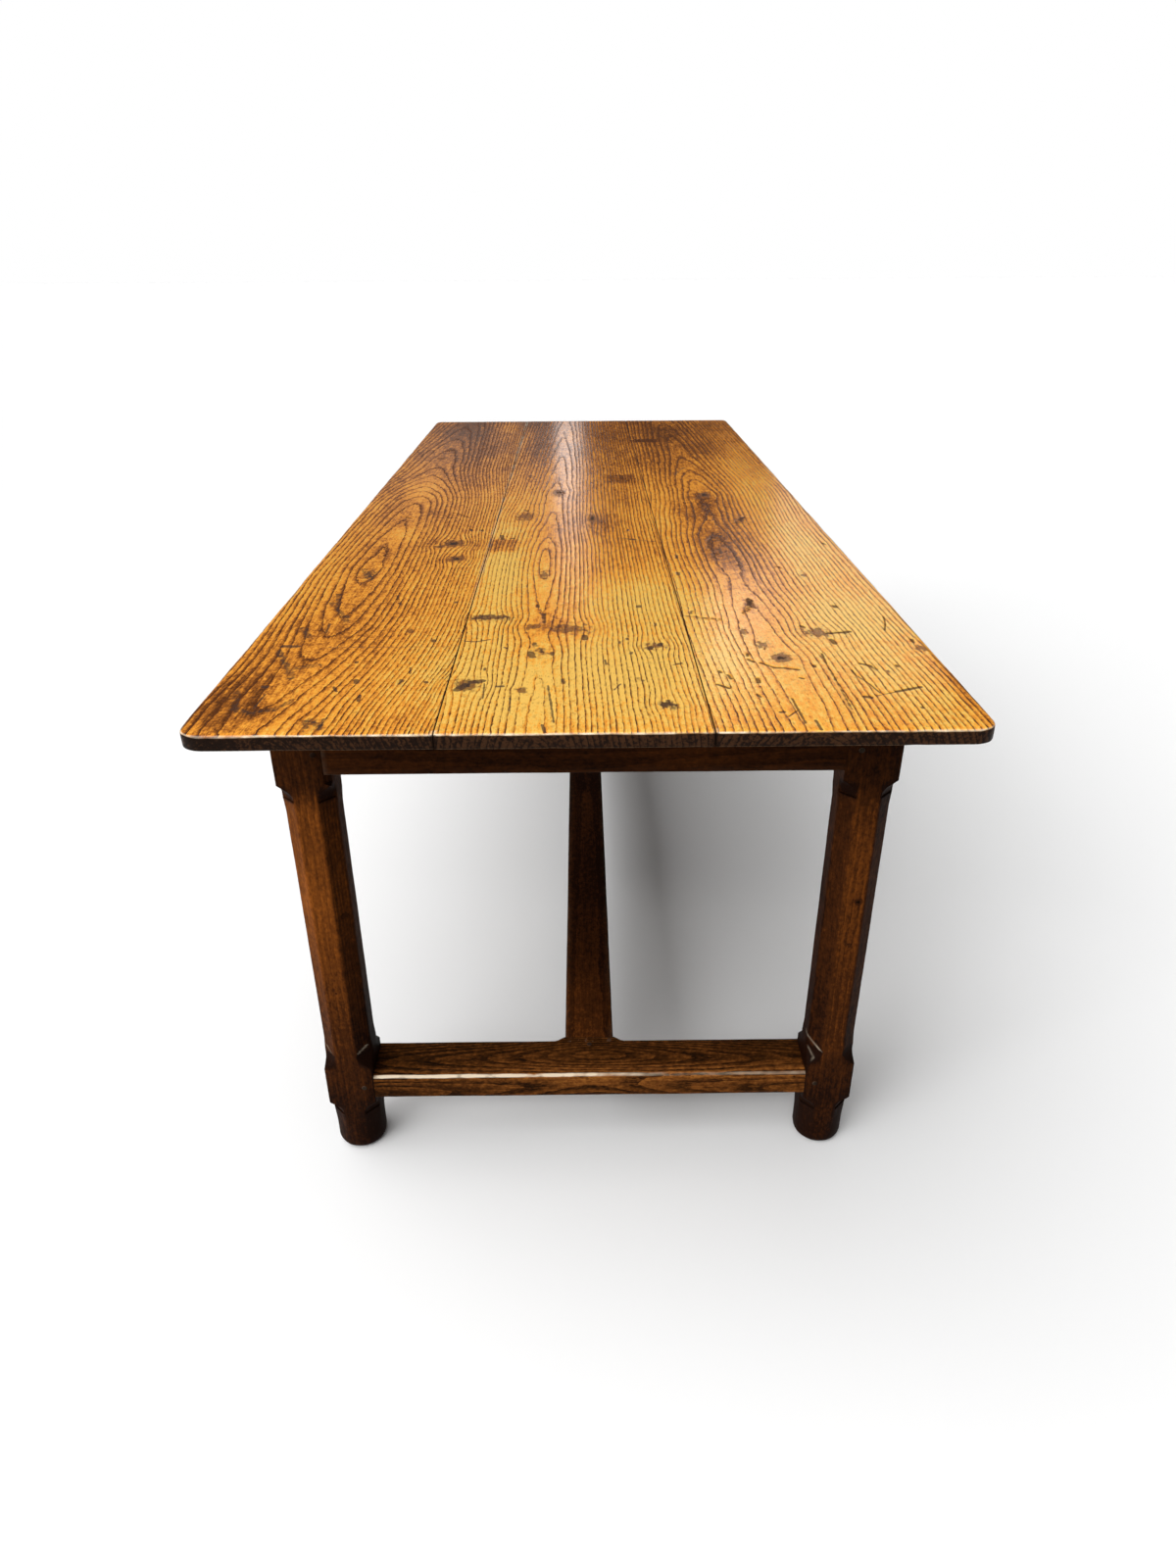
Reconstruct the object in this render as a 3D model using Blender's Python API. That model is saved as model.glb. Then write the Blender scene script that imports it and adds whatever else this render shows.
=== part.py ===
"""A long dining table: three boards on four octagonal legs, held by tenons, pegs and buttons.

Metres, +Z up. The origin is on the floor below the middle of the top. X runs across the
table and Y along it. The front end is at -Y, the left side at -X.
"""

import math

import bmesh
import bpy
from mathutils import Vector

for old in list(bpy.data.objects):
    bpy.data.objects.remove(old, do_unlink=True)

# Clearances and cutters
FIT = 0.0003
SCREW_PLAY = 0.0005
SLOT_PLAY = 0.002
OVERRUN = 0.004

# Top: three boards of unequal width with loose tongues in their joints
TABLE_HEIGHT = 0.770
TOP_LENGTH = 2.192
TOP_THICKNESS = 0.018
LEFT_BOARD_WIDTH = 0.267
MIDDLE_BOARD_WIDTH = 0.290
RIGHT_BOARD_WIDTH = 0.296
BOARD_JOINT = 0.0008
CORNER_RADIUS = 0.028
TOP_ARRIS = 0.003
TONGUE_WIDTH = 0.020
TONGUE_THICKNESS = 0.006
TONGUE_SETBACK = 0.060

# Legs: square blocks at the joints, an octagonal shaft and foot, and scooped stops between
END_OVERHANG = 0.1615
SIDE_OVERHANG = 0.0418
LEG_SIZE = 0.070
LEG_CHAMFER = 0.019
LEG_ARRIS = 0.0015
STOP_LENGTH = 0.025
BLOCK_BELOW_RAIL = 0.014
BLOCK_ABOVE_STRETCHER = 0.015
BLOCK_BELOW_STRETCHER = 0.008
FOOT_ROUNDING = 0.008
FOOT_TAPER = 0.001

# Rails under the top
RAIL_DEPTH = 0.112
RAIL_THICKNESS = 0.028
RAIL_SETBACK = 0.002
RAIL_ARRIS = 0.0015
RAIL_TENON_THICKNESS = 0.010
RAIL_TENON_TOP_SHOULDER = 0.020
RAIL_TENON_BOTTOM_SHOULDER = 0.008
RAIL_TENON_WALL = 0.004

# Stretchers near the floor
STRETCHER_TOP = 0.146
STRETCHER_THICKNESS = 0.042
STRETCHER_ARRIS = 0.003
END_STRETCHER_WIDTH = 0.072
END_STRETCHER_SETBACK = 0.0015
END_STRETCHER_TENON_LENGTH = 0.045
END_STRETCHER_TENON_THICKNESS = 0.016
END_STRETCHER_TENON_SHOULDER = 0.003
SWELL_HEIGHT = 0.009
SWELL_MARGIN = 0.004
SWELL_RUN = 0.055
LONG_STRETCHER_WIDTH = 0.0735
LONG_TENON_WIDTH = 0.050
LONG_TENON_THICKNESS = 0.014
LONG_TENON_LENGTH = 0.045

# Pegs
PEG_DIAMETER = 0.008
PEG_PROUD = 0.0008
PEG_PAST_TENON = 0.012
PEG_TIP = 0.0015
RAIL_PEG_FROM_SHOULDER = 0.018
STRETCHER_PEG_FROM_SHOULDER = 0.015
LONG_PEG_FROM_SHOULDER = 0.018

# Bearers across the frame, and the buttons and screws that hold the boards down
BEARER_SPACING = 0.660
BEARER_WIDTH = 0.060
BEARER_THICKNESS = 0.022
BEARER_HOUSING = 0.012
BUTTON_WIDTH = 0.036
BUTTON_BODY_LENGTH = 0.038
BUTTON_STANDOFF = 0.002
BUTTON_REBATE = 0.012
BUTTON_TONGUE_THICKNESS = 0.009
BUTTON_TONGUE_REACH = 0.010
SCREW_HEAD_DIAMETER = 0.009
SCREW_HEAD_HEIGHT = 0.003
SCREW_HEAD_RIM = 0.0004
SCREW_SHANK_DIAMETER = 0.0045
SCREW_TIP_DIAMETER = 0.001
SCREW_TIP_LENGTH = 0.004
SCREW_SINK = 0.0005
SCREW_BITE = 0.010
SCREW_SLOT_WIDTH = 0.001
SCREW_SLOT_DEPTH = 0.0012

# How many flats a round shape is drawn with
CORNER_STEPS = 6
FOOT_STEPS = 4
SWELL_STEPS = 6
ARRIS_SEGMENTS = 2
ROUND_SIDES = 12
SMOOTH_BELOW = math.radians(40)

# A stop from the shaft to the square block: how far along, and what is left of the chamfer.
# The gouge dips a little below the chamfer first, which leaves a sharp lip across it.
STOP_SHARES = ((0.0, 1.0), (0.12, 1.06), (0.38, 0.96), (0.62, 0.72), (0.84, 0.38))
RAIL_PEG_SHARES = {"lower": 0.25, "upper": 0.75}

# Places that follow from the sizes
TOP_WIDTH = LEFT_BOARD_WIDTH + MIDDLE_BOARD_WIDTH + RIGHT_BOARD_WIDTH + 2 * BOARD_JOINT
FRAME_HALF_WIDTH = TOP_WIDTH / 2 - SIDE_OVERHANG
FRAME_HALF_LENGTH = TOP_LENGTH / 2 - END_OVERHANG
INNER_HALF_WIDTH = FRAME_HALF_WIDTH - LEG_SIZE
INNER_HALF_LENGTH = FRAME_HALF_LENGTH - LEG_SIZE
FRAME_TOP = TABLE_HEIGHT - TOP_THICKNESS - FIT
TONGUE_LEVEL = TABLE_HEIGHT - TOP_THICKNESS / 2
RAIL_BOTTOM = FRAME_TOP - RAIL_DEPTH
RAIL_MIDDLE_DEPTH = RAIL_SETBACK + RAIL_THICKNESS / 2
RAIL_TENON_FACE = RAIL_MIDDLE_DEPTH + RAIL_TENON_THICKNESS / 2
RAIL_TENON_LENGTH = LEG_SIZE - RAIL_TENON_FACE - RAIL_TENON_WALL
RAIL_TENON_LOW = RAIL_BOTTOM + RAIL_TENON_BOTTOM_SHOULDER
RAIL_TENON_HIGH = FRAME_TOP - RAIL_TENON_TOP_SHOULDER
RAIL_INNER_DEPTH = RAIL_SETBACK + RAIL_THICKNESS
STRETCHER_BOTTOM = STRETCHER_TOP - STRETCHER_THICKNESS
STRETCHER_LEVEL = STRETCHER_TOP - STRETCHER_THICKNESS / 2
END_STRETCHER_INNER = FRAME_HALF_LENGTH - END_STRETCHER_SETBACK - END_STRETCHER_WIDTH
LONG_SHOULDER = END_STRETCHER_INNER - SWELL_HEIGHT - FIT
BUTTON_TONGUE_HIGH = FRAME_TOP - BUTTON_REBATE
BUTTON_BOTTOM = BUTTON_TONGUE_HIGH - BUTTON_TONGUE_THICKNESS
BEARER_BOTTOM = FRAME_TOP - BEARER_THICKNESS

SIDES = {"left": -1, "right": 1}
ENDS = {"front": -1, "back": 1}
BOARD_WIDTHS = {"left": LEFT_BOARD_WIDTH, "middle": MIDDLE_BOARD_WIDTH, "right": RIGHT_BOARD_WIDTH}

table = bpy.data.objects.new("dining_table", None)
bpy.context.scene.collection.objects.link(table)


def board_places():
    """Each board's middle across the table, by its name."""
    places = {}
    edge = -TOP_WIDTH / 2
    for name, width in BOARD_WIDTHS.items():
        places[name] = edge + width / 2
        edge += width + BOARD_JOINT
    return places


BOARD_PLACES = board_places()


def fixing_places():
    """Where across the table each board is held down: the middle of its stretch between the legs."""
    places = {}
    for name, width in BOARD_WIDTHS.items():
        low = max(BOARD_PLACES[name] - width / 2, -INNER_HALF_WIDTH)
        high = min(BOARD_PLACES[name] + width / 2, INNER_HALF_WIDTH)
        places[name] = (low + high) / 2
    return places


FIXING_PLACES = fixing_places()


# Finishes

def finish(name, colour, roughness, metallic=0.0):
    """One plain material for one piece."""
    material = bpy.data.materials.new(name)
    material.use_nodes = True
    shader = material.node_tree.nodes["Principled BSDF"]
    shader.inputs["Base Color"].default_value = (*colour, 1.0)
    shader.inputs["Roughness"].default_value = roughness
    shader.inputs["Metallic"].default_value = metallic
    return material


def waxed_elm(name):
    return finish(name + "_waxed_elm", (0.50, 0.26, 0.07), 0.35)


def dark_oak(name):
    return finish(name + "_dark_oak", (0.075, 0.030, 0.012), 0.40)


def peg_oak(name):
    return finish(name + "_peg_oak", (0.045, 0.020, 0.010), 0.50)


def bare_beech(name):
    return finish(name + "_bare_beech", (0.42, 0.27, 0.14), 0.70)


def bright_steel(name):
    return finish(name + "_steel", (0.42, 0.40, 0.37), 0.40, 1.0)


# Solids and their places

def object_of(name, mesh, place):
    made = bpy.data.objects.new(name, mesh)
    made.location = place
    made.parent = table
    bpy.context.scene.collection.objects.link(made)
    return made


def piece(name, mesh, place, material):
    """A sub-part with a material of its own. Its mesh may be shared with another."""
    made = object_of(name, mesh, place)
    if not mesh.materials:
        mesh.materials.append(None)
    made.material_slots[0].link = "OBJECT"
    made.material_slots[0].material = material
    return made


def mesh_of(name, bm):
    bmesh.ops.recalc_face_normals(bm, faces=bm.faces)
    mesh = bpy.data.meshes.new(name)
    bm.to_mesh(mesh)
    bm.free()
    return mesh


def smooth(mesh):
    mesh.shade_smooth()
    mesh.set_sharp_from_angle(angle=SMOOTH_BELOW)
    return mesh


def block_mesh(name, size, arris=0.0, along=None):
    """A block round its own middle. An arris eases its four edges along one axis."""
    bm = bmesh.new()
    bmesh.ops.create_cube(bm, size=1)
    bmesh.ops.scale(bm, vec=Vector(size), verts=bm.verts)
    if arris:
        ease(bm, [edge for edge in bm.edges if runs_along(edge, along)], arris)
    return mesh_of(name, bm)


def runs_along(edge, axis):
    step = edge.verts[1].co - edge.verts[0].co
    return abs(step[axis]) > abs(step[axis - 1]) + abs(step[axis - 2])


def ease(bm, edges, width):
    bmesh.ops.bevel(bm, geom=edges, offset=width, segments=ARRIS_SEGMENTS, profile=0.5,
                    affect="EDGES", material=-1)


def lofted_mesh(name, rings):
    """A closed solid through rings of points, each an anticlockwise outline and its height."""
    bm = bmesh.new()
    loops = [[bm.verts.new((x, y, height)) for x, y in outline] for outline, height in rings]
    for lower, upper in zip(loops, loops[1:]):
        for i in range(len(lower)):
            bm.faces.new((lower[i - 1], lower[i], upper[i], upper[i - 1]))
    bm.faces.new(reversed(loops[0]))
    bm.faces.new(loops[-1])
    return mesh_of(name, bm)


def circle(radius):
    turns = [2 * math.pi * i / ROUND_SIDES for i in range(ROUND_SIDES)]
    return [(radius * math.cos(turn), radius * math.sin(turn)) for turn in turns]


def turned_mesh(name, profile):
    """A turned solid along +Z from its profile of radius and height."""
    return smooth(lofted_mesh(name, [(circle(radius), height) for radius, height in profile]))


def between(low, high):
    """The middle and the size of the box with these two corners, given in any order."""
    low, high = Vector(low), Vector(high)
    size = [abs(b - a) for a, b in zip(low, high)]
    return (low + high) / 2, size


def helper(name, mesh, place):
    """A cutter or a tenon before it is joined, which is no piece by itself."""
    made = object_of(name, mesh, place)
    made.hide_render = True
    made.display_type = "WIRE"
    return made


def box_helper(name, low, high):
    place, size = between(low, high)
    return helper(name, block_mesh(name, size), place)


def combine(target, tool, operation):
    change = target.modifiers.new(tool.name, "BOOLEAN")
    change.operation = operation
    change.solver = "EXACT"
    change.object = tool


def cut(target, tool):
    combine(target, tool, "DIFFERENCE")


def join(target, tool):
    combine(target, tool, "UNION")


def aim(made, direction):
    """Turns a piece made along +Z to run along a direction."""
    made.rotation_mode = "QUATERNION"
    made.rotation_quaternion = Vector(direction).to_track_quat("Z", "Y")


# Top boards

def board_outline(half_width, half_length, round_left, round_right):
    """Anticlockwise, with the table's outer corners rounded and the joint's corners square."""
    points = []
    corners = ((1, -1, round_right), (1, 1, round_right), (-1, 1, round_left), (-1, -1, round_left))
    for number, (across, along, rounded) in enumerate(corners):
        corner = Vector((across * half_width, along * half_length))
        if not rounded:
            points.append(tuple(corner))
            continue
        middle = corner - CORNER_RADIUS * Vector((across, along))
        for step in range(CORNER_STEPS + 1):
            turn = math.pi / 2 * (number - 1 + step / CORNER_STEPS)
            points.append(tuple(middle + CORNER_RADIUS * Vector((math.cos(turn), math.sin(turn)))))
    return points


def board_mesh(name, width, round_left, round_right):
    half_width, half_length = width / 2, TOP_LENGTH / 2
    outline = board_outline(half_width, half_length, round_left, round_right)
    bm = bmesh.new()
    face = bm.faces.new([bm.verts.new((x, y, -TOP_THICKNESS / 2)) for x, y in outline])
    made = bmesh.ops.extrude_face_region(bm, geom=[face])["geom"]
    raised = [part for part in made if isinstance(part, bmesh.types.BMVert)]
    bmesh.ops.translate(bm, vec=(0, 0, TOP_THICKNESS), verts=raised)
    joint_sides = [side for side, rounded in ((-1, round_left), (1, round_right)) if not rounded]

    def at_joint(edge):
        return any(all(abs(vert.co.x - side * half_width) < FIT for vert in edge.verts)
                   for side in joint_sides)

    level = [edge for edge in bm.edges if edge.verts[0].co.z == edge.verts[1].co.z]
    ease(bm, [edge for edge in level if not at_joint(edge)], TOP_ARRIS)
    return smooth(mesh_of(name, bm))


def make_top():
    boards = {}
    for side in BOARD_WIDTHS:
        name = "top_board_" + side
        mesh = board_mesh(name, BOARD_WIDTHS[side], side == "left", side == "right")
        place = (BOARD_PLACES[side], 0, TONGUE_LEVEL)
        boards[side] = piece(name, mesh, place, waxed_elm(name))
    for side, pair in {"left": ("left", "middle"), "right": ("middle", "right")}.items():
        make_tongue(side, [boards[name] for name in pair])
    return boards


def make_tongue(side, neighbours):
    """A loose tongue in the joint between two boards, and the groove for it in both."""
    outer = BOARD_PLACES[side]
    joint = outer - SIDES[side] * (BOARD_WIDTHS[side] + BOARD_JOINT) / 2
    length = TOP_LENGTH - 2 * TONGUE_SETBACK
    place = (joint, 0, TONGUE_LEVEL)
    name = "loose_tongue_" + side
    piece(name, block_mesh(name, (TONGUE_WIDTH, length, TONGUE_THICKNESS)), place, bare_beech(name))
    room = (TONGUE_WIDTH + 2 * FIT, length + 2 * FIT, TONGUE_THICKNESS + 2 * FIT)
    groove = helper("groove_" + side, block_mesh("groove_" + side, room), place)
    for board in neighbours:
        cut(board, groove)


# Legs

def octagon(half, chamfer):
    """The corners of a square of this half width with its corners cut off, anticlockwise."""
    flat = half - chamfer
    quarter = [(half, -flat), (half, flat)]
    points = []
    for _ in range(4):
        points += quarter
        quarter = [(-y, x) for x, y in quarter]
    return points


def foot_rings():
    """The rounded, slightly tapered foot, from the floor up to its stop."""
    half = LEG_SIZE / 2
    foot_height = STRETCHER_BOTTOM - BLOCK_BELOW_STRETCHER - STOP_LENGTH
    rings = []
    for step in range(FOOT_STEPS + 1):
        turn = math.pi / 2 * step / FOOT_STEPS
        height = FOOT_ROUNDING * (1 - math.cos(turn))
        inset = FOOT_ROUNDING * (1 - math.sin(turn)) + FOOT_TAPER * (1 - height / foot_height)
        # Moved in by the same inset, a cut corner loses this much of its chamfer
        chamfer = LEG_CHAMFER - (2 - math.sqrt(2)) * inset
        rings.append((octagon(half - inset, chamfer), height))
    return rings


def stop_rings(shaft_end, upwards):
    """From the full chamfer at the shaft's end to the square block, bottom ring first."""
    direction = 1 if upwards else -1
    half = LEG_SIZE / 2
    rings = [(octagon(half, LEG_CHAMFER * left), shaft_end + direction * STOP_LENGTH * along)
             for along, left in STOP_SHARES]
    rings.append((octagon(half, LEG_ARRIS), shaft_end + direction * STOP_LENGTH))
    return rings if upwards else rings[::-1]


def leg_mesh():
    foot_end = STRETCHER_BOTTOM - BLOCK_BELOW_STRETCHER - STOP_LENGTH
    shaft_start = STRETCHER_TOP + BLOCK_ABOVE_STRETCHER + STOP_LENGTH
    shaft_end = RAIL_BOTTOM - BLOCK_BELOW_RAIL - STOP_LENGTH
    rings = foot_rings() + stop_rings(foot_end, True)
    rings += stop_rings(shaft_start, False) + stop_rings(shaft_end, True)
    rings.append((octagon(LEG_SIZE / 2, LEG_ARRIS), FRAME_TOP))
    return lofted_mesh("leg", rings)


def make_legs():
    mesh = leg_mesh()
    legs = {}
    for end, along in ENDS.items():
        for side, across in SIDES.items():
            name = f"leg_{end}_{side}"
            place = (across * (FRAME_HALF_WIDTH - LEG_SIZE / 2),
                     along * (FRAME_HALF_LENGTH - LEG_SIZE / 2), 0)
            legs[end, side] = piece(name, mesh, place, dark_oak(name))
    return legs


# Pegs

def make_peg(name, start, direction, length, pieces):
    """A tapered-tip peg driven from a surface point, and its hole through the pieces."""
    radius = PEG_DIAMETER / 2
    profile = [(radius, -PEG_PROUD), (radius, length - PEG_TIP), (radius - PEG_TIP, length)]
    peg = piece(name, turned_mesh(name, profile), start, peg_oak(name))
    room = [(radius + FIT, -OVERRUN), (radius + FIT, length + FIT)]
    hole = helper(name + "_hole", turned_mesh(name + "_hole", room), start)
    for made in (peg, hole):
        aim(made, direction)
    for other in pieces:
        cut(other, hole)


# Rails

def make_end_rail(end, legs):
    along = ENDS[end]
    name = "end_rail_" + end
    middle = along * (FRAME_HALF_LENGTH - RAIL_MIDDLE_DEPTH)
    shoulder = INNER_HALF_WIDTH - FIT
    size = (2 * shoulder, RAIL_THICKNESS, RAIL_DEPTH)
    place = (0, middle, RAIL_BOTTOM + RAIL_DEPTH / 2)
    rail = piece(name, block_mesh(name, size, RAIL_ARRIS, 0), place, dark_oak(name))
    half = RAIL_TENON_THICKNESS / 2
    for side, across in SIDES.items():
        leg = legs[end, side]
        join(rail, box_helper(f"{name}_tenon_{side}",
                              (across * (shoulder - OVERRUN), middle - half, RAIL_TENON_LOW),
                              (across * (shoulder + RAIL_TENON_LENGTH), middle + half, RAIL_TENON_HIGH)))
        cut(leg, box_helper(f"{name}_mortise_{side}",
                            (across * (INNER_HALF_WIDTH - OVERRUN), middle - half - FIT,
                             RAIL_TENON_LOW - FIT),
                            (across * (shoulder + RAIL_TENON_LENGTH + FIT), middle + half + FIT,
                             RAIL_TENON_HIGH + FIT)))
        for level, share in RAIL_PEG_SHARES.items():
            height = RAIL_TENON_LOW + share * (RAIL_TENON_HIGH - RAIL_TENON_LOW)
            start = (across * (INNER_HALF_WIDTH + RAIL_PEG_FROM_SHOULDER),
                     along * FRAME_HALF_LENGTH, height)
            make_peg(f"end_rail_peg_{end}_{side}_{level}", start, (0, -along, 0),
                     RAIL_TENON_FACE + PEG_PAST_TENON, (leg, rail))
    return rail


def make_side_rail(side, legs):
    across = SIDES[side]
    name = "side_rail_" + side
    middle = across * (FRAME_HALF_WIDTH - RAIL_MIDDLE_DEPTH)
    shoulder = INNER_HALF_LENGTH - FIT
    size = (RAIL_THICKNESS, 2 * shoulder, RAIL_DEPTH)
    place = (middle, 0, RAIL_BOTTOM + RAIL_DEPTH / 2)
    rail = piece(name, block_mesh(name, size, RAIL_ARRIS, 1), place, dark_oak(name))
    half = RAIL_TENON_THICKNESS / 2
    for end, along in ENDS.items():
        leg = legs[end, side]
        join(rail, box_helper(f"{name}_tenon_{end}",
                              (middle - half, along * (shoulder - OVERRUN), RAIL_TENON_LOW),
                              (middle + half, along * (shoulder + RAIL_TENON_LENGTH), RAIL_TENON_HIGH)))
        cut(leg, box_helper(f"{name}_mortise_{end}",
                            (middle - half - FIT, along * (INNER_HALF_LENGTH - OVERRUN),
                             RAIL_TENON_LOW - FIT),
                            (middle + half + FIT, along * (shoulder + RAIL_TENON_LENGTH + FIT),
                             RAIL_TENON_HIGH + FIT)))
        for level, share in RAIL_PEG_SHARES.items():
            height = RAIL_TENON_LOW + share * (RAIL_TENON_HIGH - RAIL_TENON_LOW)
            start = (across * FRAME_HALF_WIDTH,
                     along * (INNER_HALF_LENGTH + RAIL_PEG_FROM_SHOULDER), height)
            make_peg(f"side_rail_peg_{end}_{side}_{level}", start, (-across, 0, 0),
                     RAIL_TENON_FACE + PEG_PAST_TENON, (leg, rail))
    return rail


# Stretchers

def end_stretcher_outline():
    """Seen from above, with the outer face at y = 0 and the swelling for the joint inwards."""
    shoulder = INNER_HALF_WIDTH - FIT
    flat = LONG_STRETCHER_WIDTH / 2 + SWELL_MARGIN
    slope = []
    for step in range(SWELL_STEPS + 1):
        share = step / SWELL_STEPS
        swell = SWELL_HEIGHT * (1 - math.sin(math.pi / 2 * share))
        slope.append((flat + SWELL_RUN * share, END_STRETCHER_WIDTH + swell))
    right = [(shoulder, 0), (shoulder, END_STRETCHER_WIDTH)] + slope[::-1]
    return right + [(-x, y) for x, y in right[::-1]]


def end_stretcher_mesh():
    outline = end_stretcher_outline()
    bm = bmesh.new()
    face = bm.faces.new([bm.verts.new((x, y, -STRETCHER_THICKNESS / 2)) for x, y in outline])
    made = bmesh.ops.extrude_face_region(bm, geom=[face])["geom"]
    raised = [part for part in made if isinstance(part, bmesh.types.BMVert)]
    bmesh.ops.translate(bm, vec=(0, 0, STRETCHER_THICKNESS), verts=raised)
    outer = [edge for edge in bm.edges if all(vert.co.y < FIT for vert in edge.verts)]
    ease(bm, [edge for edge in outer if runs_along(edge, 0)], STRETCHER_ARRIS)
    return smooth(mesh_of("end_stretcher", bm))


def make_end_stretcher(end, mesh, legs):
    along = ENDS[end]
    name = "end_stretcher_" + end
    outer = along * (FRAME_HALF_LENGTH - END_STRETCHER_SETBACK)
    stretcher = piece(name, mesh, (0, outer, STRETCHER_LEVEL), dark_oak(name))
    stretcher.rotation_euler.z = 0 if along < 0 else math.pi
    middle = along * (FRAME_HALF_LENGTH - LEG_SIZE / 2)
    half = END_STRETCHER_TENON_THICKNESS / 2
    shoulder = INNER_HALF_WIDTH - FIT
    low = STRETCHER_BOTTOM + END_STRETCHER_TENON_SHOULDER
    high = STRETCHER_TOP - END_STRETCHER_TENON_SHOULDER
    reach = shoulder + END_STRETCHER_TENON_LENGTH
    for side, across in SIDES.items():
        leg = legs[end, side]
        join(stretcher, box_helper(f"{name}_tenon_{side}",
                                   (across * (shoulder - OVERRUN), middle - half, low),
                                   (across * reach, middle + half, high)))
        cut(leg, box_helper(f"{name}_mortise_{side}",
                            (across * (INNER_HALF_WIDTH - OVERRUN), middle - half - FIT, low - FIT),
                            (across * (reach + FIT), middle + half + FIT, high + FIT)))
        start = (across * (INNER_HALF_WIDTH + STRETCHER_PEG_FROM_SHOULDER),
                 along * FRAME_HALF_LENGTH, STRETCHER_LEVEL)
        make_peg(f"stretcher_peg_{end}_{side}", start, (0, -along, 0),
                 LEG_SIZE / 2 + half + PEG_PAST_TENON, (leg, stretcher))
    return stretcher


def make_long_stretcher(end_stretchers):
    name = "long_stretcher"
    size = (LONG_STRETCHER_WIDTH, 2 * LONG_SHOULDER, STRETCHER_THICKNESS)
    mesh = smooth(block_mesh(name, size, STRETCHER_ARRIS, 1))
    stretcher = piece(name, mesh, (0, 0, STRETCHER_LEVEL), dark_oak(name))
    half_width, half = LONG_TENON_WIDTH / 2, LONG_TENON_THICKNESS / 2
    for end, along in ENDS.items():
        reach = LONG_SHOULDER + LONG_TENON_LENGTH
        join(stretcher, box_helper(f"{name}_tenon_{end}",
                                   (-half_width, along * (LONG_SHOULDER - OVERRUN), STRETCHER_LEVEL - half),
                                   (half_width, along * reach, STRETCHER_LEVEL + half)))
        cut(end_stretchers[end],
            box_helper(f"{name}_mortise_{end}",
                       (-half_width - FIT, along * (LONG_SHOULDER - OVERRUN), STRETCHER_LEVEL - half - FIT),
                       (half_width + FIT, along * (reach + FIT), STRETCHER_LEVEL + half + FIT)))
        start = (0, along * (LONG_SHOULDER + LONG_PEG_FROM_SHOULDER), STRETCHER_TOP)
        make_peg(f"long_stretcher_peg_{end}", start, (0, 0, -1),
                 STRETCHER_THICKNESS / 2 + half + PEG_PAST_TENON, (end_stretchers[end], stretcher))


# Screws

def make_screw(name, place, through, pieces):
    """A countersunk screw driven upwards through a thickness into a board, and its hole."""
    head, shank, tip = SCREW_HEAD_DIAMETER / 2, SCREW_SHANK_DIAMETER / 2, SCREW_TIP_DIAMETER / 2
    length = through - SCREW_SINK + FIT + SCREW_BITE
    profile = [(head, 0), (head, SCREW_HEAD_RIM), (shank, SCREW_HEAD_HEIGHT),
               (shank, length - SCREW_TIP_LENGTH), (tip, length)]
    x, y, underside = place
    start = (x, y, underside + SCREW_SINK)
    screw = piece(name, turned_mesh(name, profile), start, bright_steel(name))
    slot_size = (SCREW_HEAD_DIAMETER + 2 * OVERRUN, SCREW_SLOT_WIDTH, 2 * SCREW_SLOT_DEPTH)
    cut(screw, helper(name + "_slot", block_mesh(name + "_slot", slot_size), start))
    room = [(head + SCREW_PLAY, -OVERRUN), (head + SCREW_PLAY, SCREW_HEAD_RIM + FIT),
            (shank + SCREW_PLAY, SCREW_HEAD_HEIGHT + FIT), (shank + SCREW_PLAY, length + FIT)]
    hole = helper(name + "_hole", turned_mesh(name + "_hole", room), start)
    for other in pieces:
        cut(other, hole)


# Bearers

def make_bearer(end, boards, side_rails):
    name = "bearer_" + end
    middle = ENDS[end] * BEARER_SPACING / 2
    inner_face = FRAME_HALF_WIDTH - RAIL_INNER_DEPTH
    reach = inner_face + BEARER_HOUSING - FIT
    place, size = between((-reach, middle - BEARER_WIDTH / 2, BEARER_BOTTOM),
                          (reach, middle + BEARER_WIDTH / 2, FRAME_TOP))
    bearer = piece(name, block_mesh(name, size), place, dark_oak(name))
    for side, across in SIDES.items():
        cut(side_rails[side],
            box_helper(f"{name}_housing_{side}",
                       (across * (inner_face - OVERRUN), middle - BEARER_WIDTH / 2 - FIT,
                        BEARER_BOTTOM - FIT),
                       (across * (inner_face + BEARER_HOUSING), middle + BEARER_WIDTH / 2 + FIT,
                        FRAME_TOP + OVERRUN)))
    for side, board in boards.items():
        make_screw(f"bearer_screw_{end}_{side}", (FIXING_PLACES[side], middle, BEARER_BOTTOM),
                   BEARER_THICKNESS, (bearer, board))


# Buttons

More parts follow.
